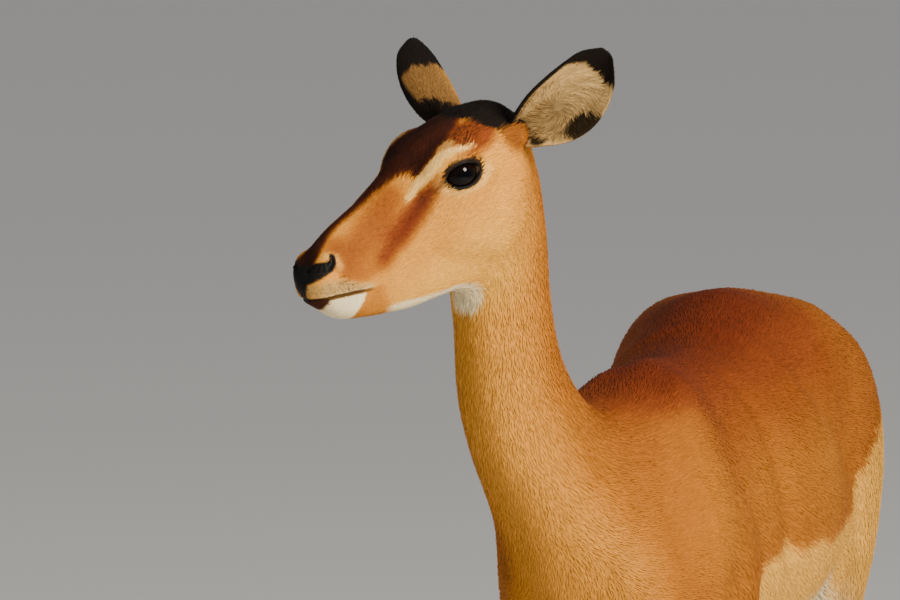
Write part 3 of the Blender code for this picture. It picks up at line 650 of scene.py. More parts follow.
# %% Helpers for meshes
def new_object(name, mesh):
    obj = bpy.data.objects.new(name, mesh)
    bpy.context.scene.collection.objects.link(obj)
    return obj


def object_from(name, bm):
    """The built mesh as an object, its faces turned outwards."""
    bmesh.ops.recalc_face_normals(bm, faces=bm.faces[:])
    mesh = bpy.data.meshes.new(name)
    bm.to_mesh(mesh)
    bm.free()
    return new_object(name, mesh)


def bake(obj):
    """Apply the modifiers and leave them off the object."""
    graph = bpy.context.evaluated_depsgraph_get()
    mesh = bpy.data.meshes.new_from_object(obj.evaluated_get(graph))
    obj.modifiers.clear()
    obj.data = mesh
    return obj


def numbers(collection, name, width, kind=np.float32):
    """One property of every item of a mesh's collection, as an array with width columns."""
    found = np.empty(len(collection) * width, kind)
    collection.foreach_get(name, found)
    return found.reshape(-1, width) if width > 1 else found


def points_of(mesh):
    return numbers(mesh.vertices, "co", 3).astype(float)


def relax(points, edges, share):
    """Each point moves part of the way to the middle of its neighbours."""
    total, count = np.zeros_like(points), np.bincount(edges.ravel(), minlength=len(points))
    for a, b in ((0, 1), (1, 0)):
        for axis in range(3):
            total[:, axis] += np.bincount(edges[:, a], points[edges[:, b], axis], len(points))
    return points + share * (total / np.maximum(count, 1)[:, None] - points)


def draw_onto(mesh, value_of, most, rounds, smooth=0.5):
    """Move the points onto the zero level of a field, at most so far in each round."""
    points, edges = points_of(mesh), numbers(mesh.edges, "vertices", 2, np.int32)
    small = 0.0006  # step for measuring the field's slope
    for turn in range(rounds):
        if turn < rounds - 1:
            points = relax(points, edges, smooth)
        value = value_of(points)
        slope = np.stack([value_of(points + small * np.eye(3)[axis]) - value for axis in range(3)], 1) / small
        step = -(value / np.maximum((slope**2).sum(1), 0.2))[:, None] * slope
        length = np.linalg.norm(step, axis=1, keepdims=True)
        points = points + step * np.minimum(1, most / np.maximum(length, 1e-9))
    mesh.vertices.foreach_set("co", points.astype(np.float32).ravel())
    mesh.update()


print("field at the middle of the trunk:", np.round(skin_value(np.array([(0.0, 0.0, 0.68)])), 3))

# %% Build the skin
SKIN_VOXEL = 0.0076


def refine(obj, wanted):
    """Split every face whose middle is wanted into four."""
    bm = bmesh.new()
    bm.from_mesh(obj.data)
    middles = np.array([face.calc_center_median() for face in bm.faces])
    bm.faces.ensure_lookup_table()
    edges = {edge for i in np.flatnonzero(wanted(middles)) for edge in bm.faces[i].edges}
    bmesh.ops.subdivide_edges(bm, edges=list(edges), cuts=1, use_grid_fill=True)
    bmesh.ops.triangulate(bm, faces=[face for face in bm.faces if len(face.verts) > 4])
    bm.to_mesh(obj.data)
    bm.free()


def mirrored_head(points):
    """Places in head space, with her right side laid onto her left."""
    h = to_head(points)
    return np.column_stack([h[:, 0], np.abs(h[:, 1]), h[:, 2]])


def on_head_or_leg(points):
    h = to_head(points)
    head = (h[:, 0] > -0.085) & (h[:, 2] > -0.13) & (points[:, 2] > 0.93)
    return head | (points[:, 2] < 0.36)


def on_eye_or_muzzle(points):
    h = mirrored_head(points)
    fore, out, up = eye_place(h)
    return ((np.hypot(fore / 0.031, up / 0.026) < 1) & (out > 0)) | (h[:, 0] > 0.128)


def on_rims(points):
    """The edges of the eye's hollow, the nostrils and the mouth."""
    h = mirrored_head(points)
    fore, out, up = eye_place(h)
    eye = (np.abs(np.hypot(fore / SOCKET[0], up / SOCKET[1]) - 1) < 0.22) & (out > 0)
    return eye | (near_line(h, NOSTRIL) < 0.0045) | (near_line(h, MOUTH) < 0.0026)


bm = bmesh.new()
for form in BODY:
    form.add_mesh(bm)
skin = object_from("skin", bm)
net = skin.modifiers.new("one net", "REMESH")
net.mode = "VOXEL"
net.voxel_size = SKIN_VOXEL
bake(skin)
draw_onto(skin.data, lambda p: field_of(BODY, p) + coat_depth(p), SKIN_VOXEL, 4)
for wanted, most, rounds in ((on_head_or_leg, 0.003, 3), (on_eye_or_muzzle, 0.0015, 3), (on_rims, 0.0010, 4)):
    refine(skin, wanted)
    draw_onto(skin.data, skin_value, most, rounds, smooth=0.4)
    print("skin faces:", len(skin.data.polygons))

# %% [markdown]
# ## The ears
#
# An ear is a leaf of cartilage, rolled at its root and open towards the tip, a few millimetres thick.
# It is too thin for the net above, so it is made as two grids on a curved leaf, closed round the rim,
# and joined to the skin with its root inside the head. u runs from root to tip, v from the rear, lower
# edge to the front one. Both are kept on the points, because the ear's marks and hair follow them.

# %% The leaf of an ear
EAR_LENGTH, EAR_THICKNESS, EAR_BOW = 0.132, 0.0036, 0.010
MOST_CURL = 2.15  # radians from the ear's middle to its rim
# arc across the half leaf and how far it curls round, from the root to the tip
EAR_TABLE = smooth_table([
    (0.0300, 2.10), (0.0345, 1.75), (0.0380, 1.30), (0.0395, 1.00), (0.0390, 0.85),
    (0.0365, 0.75), (0.0320, 0.68), (0.0245, 0.60), (0.0080, 0.50),
], per_span=8)


def ear_frame(side):
    """Root, and the ways along the ear, out of its opening and across it, in the body's space."""
    if side > 0:
        root, along, opening = (-0.074, 0.038, -0.010), (-0.26, 0.74, 0.62), (0.73, 0.55, -0.36)
    else:
        root, along, opening = (-0.063, -0.045, -0.007), (-0.14, -0.79, 0.52), (0.14, -0.56, -0.82)
    ahead = np.array((-math.sin(HEAD_YAW), -math.cos(HEAD_YAW), 0))
    up = np.array((0, 0, 1.0))
    level = np.array([ahead, np.cross(up, ahead), up])
    along = unit(np.array(along) @ level)
    opening = np.array(opening) @ level
    opening = unit(opening - (opening @ along) * along)
    return in_head(root), along, opening, np.cross(opening, along) * side


def ear_leaf(side, u, v):
    """Points of the ear's middle surface. The right ear is turned back, folded closer and straight."""
    root, along, opening, across = ear_frame(side)
    places = np.linspace(0, 1, len(EAR_TABLE))
    arc, curl = (np.interp(u, places, column) for column in EAR_TABLE.T)
    fold, bow = (1.0, EAR_BOW) if side > 0 else (1.36, -0.003)
    curl = np.minimum(curl * fold, MOST_CURL)
    radius = arc / curl
    lateral = radius * np.sin(curl * v) - bow * np.sin(np.pi * u)
    depth = radius * (1 - np.cos(curl * v)) - EAR_BOW
    return (root + (u * EAR_LENGTH)[..., None] * along
            + lateral[..., None] * across + depth[..., None] * opening)


tips = [ear_leaf(side, np.array([1.0]), np.array([0.0]))[0] for side in (1, -1)]
print("ear tips, left and right:", np.round(tips, 3).tolist())


# %% Two ears on the skin
def add_ear(bm, side, long=46, wide=24):
    """The two faces of one ear. Returns u, v and which face, for each point made."""
    u, v = np.meshgrid(1 - (1 - np.linspace(0, 1, long + 1)) ** 1.15,
                       np.sin(np.linspace(-1, 1, wide + 1) * math.pi / 2), indexing="ij")
    middle = ear_leaf(side, u, v)
    normal = unit(np.cross(np.gradient(middle, axis=0), np.gradient(middle, axis=1)))
    rim = np.sqrt(np.clip(1 - v**8, 0.02, 1)) * np.sqrt(np.clip(1 - u**14, 0.05, 1))
    half = EAR_THICKNESS / 2 * rim * (1.6 - 0.8 * u)
    folds = 0.0011 * np.cos(v * 9.0) * (1 - ramp(u, 0.35, 0.75)) * (1 - v**4)
    grids, facts = [], []
    for sign in (1, -1):
        inside = sign * side > 0
        height = half + (folds if inside else 0)
        grid = middle + sign * height[..., None] * normal
        grids.append([[bm.verts.new(point) for point in row] for row in grid])
        facts.append(np.column_stack([u.ravel(), v.ravel(), np.full(u.size, float(inside))]))
    front, back = grids
    for i in range(long):
        for j in range(wide):
            bm.faces.new((front[i][j], front[i + 1][j], front[i + 1][j + 1], front[i][j + 1]))
            bm.faces.new((back[i][j + 1], back[i + 1][j + 1], back[i + 1][j], back[i][j]))
    edge = [(i, 0) for i in range(long)] + [(long, j) for j in range(wide)]
    edge += [(i, wide) for i in range(long, 0, -1)] + [(0, j) for j in range(wide, 0, -1)]
    for (a, b), (c, d) in zip(edge, edge[1:] + edge[:1]):
        bm.faces.new((front[a][b], front[c][d], back[c][d], back[a][b]))
    return np.vstack(facts)


bm = bmesh.new()
bm.from_mesh(skin.data)
BODY_POINTS = len(bm.verts)
EAR_FACTS = np.vstack([add_ear(bm, side) for side in (1, -1)])
bmesh.ops.triangulate(bm, faces=bm.faces[:])
bmesh.ops.recalc_face_normals(bm, faces=bm.faces[:])
bm.to_mesh(skin.data)
bm.free()
skin.data.shade_smooth()
ON_EAR = np.arange(len(skin.data.vertices)) >= BODY_POINTS
print("skin triangles with ears:", len(skin.data.polygons))

# %% [markdown]
# ## Where the skin's points are, and how the hair lies there
#
# Everything that follows is asked of the skin's points: the way the hair runs, the marks, and the
# length of the coat. Hair runs from nose to tail and down the legs, so its direction is that of the
# nearest loft's spine, laid flat on the skin and smoothed where two lofts meet. On the ear's back it
# runs to the tip. In the ear's bowl it curls outwards from one point, as a whorl.

# %% The skin's points
LOFTS = [form for form in BODY if isinstance(form, Loft)]
skin_points = points_of(skin.data)
skin_edges = numbers(skin.data.edges, "vertices", 2, np.int32)
skin_normals = numbers(skin.data.vertex_normals, "vector", 3).astype(float)
skin_faces = numbers(skin.data.polygons, "vertices", 3, np.int32)
EAR_SIDE = np.where(np.arange(len(EAR_FACTS)) < len(EAR_FACTS) // 2, 1, -1)
leaf = np.zeros((len(skin_points), 3))
leaf[BODY_POINTS:] = EAR_FACTS
print("points:", len(skin_points), "on the ears:", len(EAR_FACTS))


# %% Hair direction on the skin
def flat(vectors, normals):
    """Vectors laid onto the surface, of length one."""
    return unit(vectors - (vectors * normals).sum(1, keepdims=True) * normals)


def hair_way(points):
    """The direction of the hair, and each point's place in its nearest loft: along, across, up."""
    ways, places = np.zeros_like(points), np.zeros_like(points)
    total, best = np.zeros(len(points)), np.full(len(points), 1.0)
    for form in LOFTS:
        near = np.flatnonzero(np.all((points > form.low) & (points < form.high), axis=1))
        if not len(near):
            continue
        at, across, rise, _ = form.local(points[near])
        value = np.clip(form.field(points[near]), -0.03, 0.1)
        weight = np.exp(-value / 0.010)
        ways[near] += weight[:, None] * at(form.along) * form.grain
        total[near] += weight
        nearer = value < best[near]
        chosen = near[nearer]
        best[chosen] = value[nearer]
        run = at(form.run[:, None])[:, 0]
        places[chosen] = np.column_stack([run, across, rise])[nearer]
    ways /= np.maximum(total, 1e-6)[:, None]
    # on the flank the hair also slopes down, more so low on the side
    x, y, z = points.T
    flank = ramp(y, -0.30, -0.15) * ramp(z, 0.45, 0.55) * (1 - ramp(z, 0.86, 0.95))
    ways[:, 2] -= 0.45 * flank * (0.4 + ramp(np.abs(x), 0.02, 0.10))
    return ways, places


def from_whorl(u, v):
    """Offsets from the whorl in the ear's bowl, towards the tip and across."""
    return np.column_stack([u - 0.38, v * 0.30])


ways, places = hair_way(skin_points[:BODY_POINTS])
skin_way = np.vstack([ways, np.zeros((len(EAR_FACTS), 3))])
skin_place = np.vstack([places, np.zeros((len(EAR_FACTS), 3))])
for side in (1, -1):
    chosen = BODY_POINTS + np.flatnonzero(EAR_SIDE == side)
    u, v, inside = leaf[chosen].T
    _, along, _, across = ear_frame(side)
    bend = 0.85 + 0.40 * np.sin(u * 9 + v * 2.1) * np.cos(v * 3.4 - u * 5)
    spread = unit(from_whorl(u, v) + 1e-6)
    spread = spread * np.cos(bend)[:, None] + spread[:, ::-1] * (1, -1) * np.sin(bend)[:, None]
    rim = np.maximum(ramp(np.abs(v), 0.62, 0.88), ramp(u, 0.72, 0.85))[:, None]
    spread = unit(spread * (1 - rim) + np.column_stack([np.ones(len(u)), -v * u * 0.9]) * rim)
    bowl = spread[:, :1] * along + spread[:, 1:] * across
    skin_way[chosen] = np.where(inside[:, None] > 0.5, bowl, along - (0.5 * v * u**2)[:, None] * across)
    skin_place[chosen] = np.column_stack([u * EAR_LENGTH, v * 0.035, inside])
for turn in range(6):
    skin_way = flat(relax(skin_way, skin_edges, 0.6), skin_normals)
print("hair runs back along the flank:", np.round(skin_way[:BODY_POINTS].mean(0), 2))

# %% [markdown]
# ## The marks
#
# An impala ewe is fawn on neck and cheek, red-brown on a saddle that ends in a clean line along the
# flank, sandy below it and white on the belly. Her crown, forehead and ear tips are black, and so are
# two stripes on the buttocks, a line down the tail and a tuft above each hind hoof. Each mark is a soft
# patch or line described where it is on the animal. The numbers are laid over one another like coats
# of paint, and the same function gives them to the skin and to each lock of hair, so both agree.

# %% Tools for marks
MARKS = ("red", "cream", "white", "black", "bare")


def wander(points, size):
    """A smooth uneven number between about -1 and 1, which keeps edges from being ruled lines."""
    x, y, z = (points / size).T
    return (np.sin(x * 1.7 + 1.3 * np.sin(y * 1.1)) + np.sin(y * 2.1 + 1.1 * np.sin(z * 1.3))
            + np.sin(z * 1.9 + 1.2 * np.sin(x * 0.9))) / 3


def patch(points, place, radii, soft=0.3):
    """1 inside an ellipsoid, fading over its edge."""
    away = np.linalg.norm((points - np.array(place)) / np.array(radii), axis=1)
    return 1 - ramp(away, 1 - soft, 1 + soft)


def line(points, places_and_radii, soft=0.003):
    """1 along a bent line."""
    return 1 - ramp(near_line(points, places_and_radii), -soft, soft)


def paint(marks, mask, **wanted):
    """Move some marks towards wanted amounts where the mask is."""
    for name, amount in wanted.items():
        marks[name] += (amount - marks[name]) * mask


print("marks:", MARKS)


# %% Saddle, back and neck
def saddle_edge(y):
    """Height of the lower edge of the red-brown saddle along the body."""
    return np.interp(y, (-0.35, -0.22, -0.14, -0.09, -0.03, 0.10, 0.25, 0.31, 0.40, 0.47),
                     (0.50, 0.52, 0.60, 0.648, 0.656, 0.645, 0.645, 0.70, 0.745, 0.77))


def edge_drift(points):
    """How far the edges of the body's marks stray from their plain lines."""
    return wander(points, 0.030) * 0.006 + wander(points, 0.011) * 0.002


def back_and_neck(marks, points, normals):
    x, y, z = points.T
    out = np.abs(x)
    marks["red"] += 0.55 + 0.06 * wander(points, 0.06)
    paint(marks, ramp(z, 0.72, 0.83) * ramp(y, -0.26, -0.10), red=0.74)
    # the top of the back and the withers get darker red-brown: partly the saddle's own darker colour, partly
    # painted shade on the top of the back
    paint(marks, ramp(z, 0.80, 0.87) * ramp(y, -0.30, -0.16) * (1 - ramp(out, 0.06, 0.13)), red=0.90)
    paint(marks, ramp(z, 0.80, 0.86) * ramp(y, -0.34, -0.22) * (1 - ramp(out, 0.03, 0.08)), red=0.98)
    paint(marks, ramp(y, 0.20, 0.33) * ramp(z, 0.62, 0.72), red=0.62)
    neck = ramp(-y - 0.22 * (z - 0.72), 0.335, 0.415)
    paint(marks, neck, red=0.25)
    # darker where the neck faces back: partly the nape's own colour, partly painted shade
    nape_and_shade = ramp(normals[:, 1], 0.15, 0.90) * ramp(z, 0.80, 0.90) * (1 - ramp(y, -0.34, -0.26))
    paint(marks, nape_and_shade, red=0.55)


print("the saddle ends at", saddle_edge(0.10), "m on the flank and", saddle_edge(0.40), "m on the haunch")


# %% Belly, legs, rump and tail
def below_saddle(marks, points, normals):
    """Sandy, then the white belly and inner thighs."""
    x, y, z = points.T
    out, drift, torso = np.abs(x), edge_drift(points), ramp(z, 0.40, 0.50)
    low = (1 - ramp(z - saddle_edge(y) + drift, -0.007, 0.007)) * ramp(y, -0.36, -0.20) * torso
    paint(marks, low, red=0.12, cream=0.10)
    belly = ramp(saddle_edge(y) - z + drift, 0.055, 0.105) * (1 - ramp(out, 0.10, 0.14)) * ramp(z, 0.43, 0.53)
    inner = 1 - ramp(out, 0.075, 0.105) * ramp(y, 0.24, 0.32)
    belly = np.maximum(belly, ramp(-normals[:, 2], 0.35, 0.75) * ramp(y, -0.24, -0.16) * torso * inner)
    paint(marks, belly, white=0.95, cream=0.3)


def leg_marks(marks, points, normals):
    """Tan outside, pale inside, a darker knee, the black tuft above each hind hoof and the coronet."""
    x, y, z = points.T
    leg = 1 - ramp(z, 0.44, 0.54)
    paint(marks, leg, red=0.22, cream=0.25, white=0)
    inner = leg * (1 - ramp(np.abs(x), 0.052, 0.074)) * ramp(z, 0.10, 0.20)
    paint(marks, inner, red=0.10, cream=0.75)
    knee = leg * ramp(z, 0.26, 0.31) * (1 - ramp(z, 0.31, 0.36)) * ramp(-normals[:, 1], 0.3, 0.8)
    paint(marks, knee, red=0.45)
    hind = ramp(y, 0.1, 0.2)
    tuft = hind * ramp(z, 0.104, 0.116) * (1 - ramp(z, 0.170, 0.186)) * ramp(normals[:, 1], 0.0, 0.45)
    paint(marks, tuft, black=1.0, cream=0)
    paint(marks, 1 - ramp(z, 0.036, 0.044), black=0.85)


def rump_and_tail(marks, points, normals):
    """White beside the tail, with one black stripe down each buttock and a black line down the tail."""
    x, y, z = points.T
    out, drift = np.abs(x), edge_drift(points)
    rear = ramp(y, 0.395, 0.43) * ramp(z, 0.50, 0.58)
    beside_tail = rear * (1 - ramp(out + drift, 0.050, 0.060)) * (1 - ramp(z, 0.78, 0.81))
    paint(marks, beside_tail, white=0.9, cream=0.4)
    stripe_at = np.interp(z, (0.58, 0.70, 0.80), (0.066, 0.058, 0.038))
    stripe = 1 - ramp(np.abs(out - stripe_at + drift * 0.5), 0.006, 0.010)
    paint(marks, stripe * ramp(y, 0.385, 0.405) * ramp(z, 0.575, 0.61) * (1 - ramp(z, 0.80, 0.83)),
          black=1.0, white=0, cream=0)
    tail = ramp(y, 0.462, 0.474) * (1 - ramp(out, 0.020, 0.026)) * (1 - ramp(z, 0.795, 0.815))
    paint(marks, tail, white=0.95, cream=0.3, black=0)
    paint(marks, tail * ramp(normals[:, 1], 0.4, 0.8) * (1 - ramp(out, 0.004, 0.007)) * ramp(z, 0.58, 0.62),
          black=0.9, white=0, cream=0)


BODY_MARKS = (back_and_neck, below_saddle, leg_marks, rump_and_tail)


def body_marks(points, normals):
    marks = {name: np.zeros(len(points)) for name in MARKS}
    for lay in BODY_MARKS:
        lay(marks, points, normals)
    return marks


print("marks are laid on the body in", len(BODY_MARKS), "steps")

# %% [markdown]
# ## The marks of the face
#
# The face has most of her character, so its marks follow its bones. A dark patch covers the forehead
# between the cream brows and runs down the bridge. A red-brown stripe goes from the eye's front corner
# down the side of the nose. Lips, chin and jaw are white, and the nose pad is bare and black.


# %% Nose, cheek and forehead
def face_drift(h):
    """How far the edges of the face's marks stray from their plain lines."""
    return wander(h, 0.006) * 0.0012


def cheek_and_nose_side(own, h):
    x, y, z = h.T
    paint(own, ramp(x, -0.085, -0.020) * ramp(z, -0.150, -0.080), red=0.24)
    paint(own, ramp(-z, 0.030, 0.085) * ramp(x, -0.04, 0.03) * ramp(z, -0.165, -0.125), red=0.10)
    paint(own, line(h, [((0.142, 0.020, 0.004), 0.021), ((0.110, 0.022, 0.013), 0.020),
                        ((0.078, 0.022, 0.027), 0.014)], 0.011), red=0.66)
    paint(own, line(h, [((0.152, 0.022, -0.006), 0.010), ((0.122, 0.027, -0.013), 0.014)], 0.010), red=0.56)
    paint(own, patch(h, (0.152, 0.018, 0.014), (0.014, 0.020, 0.020), 0.5), red=0.66)
    stripe = line(h, [((0.036, 0.0440, 0.012), 0.005), ((0.054, 0.0355, 0.006), 0.009),
                      ((0.072, 0.0335, 0.000), 0.011), ((0.095, 0.0300, -0.008), 0.011),
                      ((0.117, 0.0270, -0.015), 0.006)], 0.010)
    paint(own, stripe * (1 - 0.35 * ramp(x, 0.08, 0.13)), red=0.98)
    paint(own, stripe * (1 - ramp(x, 0.050, 0.075)), black=0.45)


def temple_marks(own, h):
    """Red-brown between brow and ear, with dark strands on the temple."""
    x, y, z = h.T
    paint(own, patch(h, (-0.010, 0.034, 0.040), (0.034, 0.020, 0.018)), red=0.58)
    paint(own, patch(h, (-0.068, 0.046, -0.002), (0.018, 0.018, 0.022)), red=0.60, black=0.20)
    temple = patch(h, (-0.028, 0.042, 0.026), (0.030, 0.020, 0.020))
    paint(own, temple, red=0.77)
    strands = np.sin(x * 1250 + 2.2 * wander(h, 0.009)) + 0.5 * np.sin(x * 2300 + z * 500)
    paint(own, temple * ramp(strands, 0.0, 0.5) * ramp(z, 0.012, 0.026), black=0.76)


def forehead_marks(own, h):
    """The dark forehead, the tan spot beside it, the dark bridge of the nose and the black crown."""
    front = line(h, [((-0.034, 0, 0.040), 0.018), ((-0.014, 0, 0.042), 0.026),
                     ((0.010, 0, 0.044), 0.036), ((0.026, 0, 0.0435), 0.032),
                     ((0.040, 0, 0.042), 0.020), ((0.052, 0, 0.041), 0.012)], 0.005)
    front = np.maximum(front, line(h, [((0.022, 0.030, 0.0375), 0.008),
                                       ((0.042, 0.028, 0.031), 0.006)], 0.004))
    paint(own, front, red=0.98, black=0.78 + 0.12 * wander(h, 0.008))
    paint(own, patch(h, (0.006, 0.041, 0.037), (0.010, 0.006, 0.008)), cream=0.30, red=0.40, black=0.18)
    paint(own, line(h, [((0.045, 0, 0.040), 0.016), ((0.085, 0, 0.0375), 0.0075),
                        ((0.130, 0, 0.0375), 0.0055), ((0.160, 0, 0.036), 0.0070)], 0.005),
          red=0.95, black=0.74)
    crown = near_line(h, [((-0.060, 0.000, 0.032), 0.031), ((-0.066, 0.024, 0.018), 0.024),
                          ((-0.078, 0.042, -0.002), 0.011)]) + face_drift(h)
    paint(own, 1 - ramp(crown, -0.003, 0.004), black=1.0)


farthest = np.abs(face_drift(to_head(skin_points))).max()
print("the edges of the face's marks stray by up to", round(farthest * 1000, 1), "mm")


# %% Eyes and jaw
def eye_marks(own, h):
    """A cream brow that narrows to an arc over the eye, a pale ring below it and a black rim."""
    fore, out, up = eye_place(h)
    brow = [((0.0660, 0.0290, 0.0150), 0.0022), ((0.0550, 0.0308, 0.0188), 0.0042),
            ((0.0460, 0.0344, 0.0227), 0.0055), ((0.0350, 0.0404, 0.0270), 0.0060),
            ((0.0167, 0.0450, 0.0335), 0.0050), ((0.0020, 0.0500, 0.0300), 0.0034),
            ((-0.0120, 0.0530, 0.0230), 0.0026), ((-0.0250, 0.0500, 0.0080), 0.0018)]
    paint(own, line(h, brow, 0.0018), cream=0.80, black=0, red=0.10)
    ring = np.hypot(fore / 0.0245, up / 0.0160)
    pale = (1 - ramp(ring, 1.12, 1.50)) * (out > 0) * (1 - ramp(up, -0.006, 0.008))
    paint(own, pale, cream=0.42, red=0.18)
    rim = (1 - ramp(ring - 0.10 * ramp(up, -0.002, 0.008), 0.86, 0.97)) * (out > 0)
    paint(own, rim, black=0.95, cream=0, bare=0.4)
    paint(own, line(h, [((0.0270, 0.047, 0.0110), 0.0036), ((0.0400, 0.043, 0.0060), 0.0030)], 0.003),
          black=0.90, cream=0, red=0.9)


def jaw_marks(own, h):
    """White along the jaw's lower edge and on the throat behind it."""
    jaw = line(h, [((0.130, 0, -0.070), 0.0125), ((0.116, 0, -0.080), 0.0145),
                   ((0.089, 0, -0.096), 0.013), ((0.060, 0, -0.112), 0.015)], 0.003)
    paint(own, jaw, white=0.90, cream=0.4)
    paint(own, patch(h, (0.054, 0, -0.124), (0.018, 0.026, 0.016), 0.25), white=0.80, cream=0.6)


print("the eye's middle lies", EYE_PLACE[1] * 1000, "mm from the head's middle plane")


# %% Mouth and nose pad
def whisker_spots(h):
    """Nearness, in metres, to the dark specks that the whiskers grow from, four rows of eight."""
    spots = np.full(len(h), 1.0)
    for along, high in ((0.1885, 0.0065), (0.1865, 0.0015), (0.1885, -0.0030), (0.1850, 0.0100)):
        for k in range(8):
            spot = (along - 0.0042 * k, 0.013 + 0.0024 * k, high - 0.0022 * k)
            spots = np.minimum(spots, np.linalg.norm((h - np.array(spot)) * (1, 0.4, 1), axis=1))
    return spots


def mouth_marks(own, h):
    """The mouth's line parts the speckled upper lip from the white chin. Its corner is tan."""
    x, y, z = h.T
    mouth_z = np.interp(x, (0.140, 0.1505, 0.163, 0.180, 0.1918, 0.199),
                        (-0.0355, -0.0302, -0.0222, -0.0130, -0.0078, -0.0040))
    below = z < mouth_z
    lip = line(h, [((0.194, 0.008, 0.006), 0.0065), ((0.184, 0.019, -0.001), 0.0085),
                   ((0.172, 0.024, -0.010), 0.0080), ((0.157, 0.0255, -0.021), 0.0045),
                   ((0.143, 0.0245, -0.031), 0.0025)], 0.004)
    paint(own, lip * ~below, cream=0.50, white=0.12, red=0.2, black=0.32)
    paint(own, lip * (1 - ramp(z - mouth_z, 0.0030, 0.0060)) * ~below, white=0.45, black=0)
    paint(own, lip * ~below * ramp(wander(h, 0.00075), -0.05, 0.30) * ramp(x, 0.146, 0.162), black=0.62)
    paint(own, (1 - ramp(whisker_spots(h), 0.0007, 0.0016)) * (x > 0.150) * ~below, black=0.88)
    jaw_end = below * ramp(x, 0.125, 0.140) * ramp(-z, 0.0, 0.006)
    paint(own, jaw_end, red=0.42, white=0, cream=0)
    uneven = 0.0012 * wander(h, 0.0022)
    chin = ramp(x + 1.25 * z + uneven, 0.1100, 0.1150) * (1 - ramp(x + 0.7 * z + uneven, 0.1770, 0.1815))
    paint(own, jaw_end * chin, white=0.92, cream=0.5, red=0.1)
    paint(own, jaw_end * ramp(x + 0.7 * z + uneven, 0.1775, 0.1820), black=0.72, red=0.9)
    between_lips = (1 - ramp(near_line(h, MOUTH), 0.0006, 0.0022)) * ramp(x, 0.136, 0.146)
    paint(own, between_lips, black=0.90, white=0, cream=0)


def nose_marks(own, h):
    """A pale ring round the wing of the nostril, a dark nose top, then the bare pad."""
    paint(own, line(h, [((0.166, 0.019, 0.029), 0.003), ((0.157, 0.0240, 0.021), 0.004),
                        ((0.160, 0.0260, 0.010), 0.004)], 0.004), cream=0.35, red=0.08)
    nose_top = line(h, [((0.156, 0, 0.036), 0.0080), ((0.186, 0, 0.029), 0.0165)], 0.004)
    paint(own, nose_top, black=0.84, red=0.9)
    pad = np.minimum(near_line(h, [((0.190, 0, 0.024), 0.0085), ((0.199, 0, 0.014), 0.0095),
                                   ((0.204, 0, 0.004), 0.0062), ((0.204, 0, -0.003), 0.0048)]),
                     near_line(h, NOSTRIL) - 0.0014)
    pad = np.minimum(pad, near_line(h, [((0.192, 0.008, 0.018), 0.0060), ((0.184, 0.0175, 0.0170), 0.0052),
                                        ((0.176, 0.0225, 0.0165), 0.0030)]))
    paint(own, 1 - ramp(pad + face_drift(h) * 0.6, -0.0008, 0.0020), bare=1.0, black=0.95, cream=0, white=0)


FACE_MARKS = (cheek_and_nose_side, temple_marks, forehead_marks, eye_marks,
              jaw_marks, mouth_marks, nose_marks)


def head_marks(points, marks):
    h = mirrored_head(points)
    head = ramp(points[:, 2], 0.93, 0.96) * ramp(h[:, 0], -0.115, -0.095)
    own = {name: np.zeros(len(points)) for name in MARKS}
    own["red"] += marks["red"]
    for lay in FACE_MARKS:
        lay(own, h)
    for name in MARKS:
        marks[name] += (own[name] - marks[name]) * head


print("marks are laid on the face in", len(FACE_MARKS), "steps")

# %% [markdown]
# ## The marks of the ears
#
# An ear has a black tip and edges. Its bowl has long silvery hair in a whorl, so darker rows of skin
# show between the hairs and curl out of the same point. The places are given as u and v on the leaf.

# %% Marks of the ears
BOWL_GROUND = {"red": 0.24, "cream": 0.66, "white": 0.16, "black": 0.20, "bare": 0.0}
# the ground of the ear's back is darkened with black: partly its own dusky colour, partly painted shade; its
# rear half is painted less dark
EAR_BACK_AND_SHADE = {"red": 0.52, "cream": 0.34, "white": 0.0, "black": 0.60, "bare": 0.0}


def ear_marks(leaf_facts, marks):
    """Black tip, black front edge, a black patch on the rear edge, and silvery hair in the bowl."""
    u, v, inside = leaf_facts.T
    bowl, back = ({name: np.full(len(u), amount) for name, amount in ground.items()}
                  for ground in (BOWL_GROUND, EAR_BACK_AND_SHADE))
    uneven = 0.018 * np.sin(v * 9) + 0.012 * np.sin(v * 23 + u * 8)
    up, across = from_whorl(u, v).T
    turned = np.arctan2(across, up) + 1.15 * np.log(np.hypot(up, across) + 0.03)
    rows = 0.5 + 0.5 * np.sin(turned * 13 + 1.6 * np.sin(turned * 5) + 3 * u)
    paint(bowl, rows**3 * 0.62 * (1 - ramp(np.abs(v), 0.55, 0.85)), black=0.62, red=0.3)
    paint(bowl, 1 - ramp(np.hypot(up / 0.06, (v - 0.02) / 0.14), 0.4, 1.3), black=0.45, red=0.4)
    paint(bowl, ramp(v, 0.86, 0.93), black=1.0)
    paint(bowl, ramp(u + uneven + 0.04 * v, 0.74, 0.81), black=1.0)
    paint(bowl, 1 - ramp(np.hypot((u - 0.46 + uneven) / 0.17, (v + 1.00) / 0.72), 0.85, 1.05), black=0.97)
    paint(bowl, 1 - ramp(np.hypot((u - 0.09) / 0.06, (v + 0.80) / 0.22), 0.8, 1.2), black=0.97)
    paint(back, ramp(-v, -0.1, 0.7), red=0.38, cream=0.22, black=0.20)
    paint(back, ramp(u + uneven + 0.04 * v, 0.62, 0.67), black=1.0)
    paint(back, ramp(-v, 0.88, 0.97) * ramp(u, 0.40, 0.50), black=0.9)
    paint(back, np.maximum(ramp(v - 0.5 * u + uneven, 0.58, 0.66), ramp(v, 0.86, 0.92)), black=1.0)
    paint(back, 1 - ramp(u - 0.20 * v + uneven, 0.14, 0.20), black=1.0)
    for name in MARKS:
        marks[name] = np.where(inside > 0.5, bowl[name], back[name])


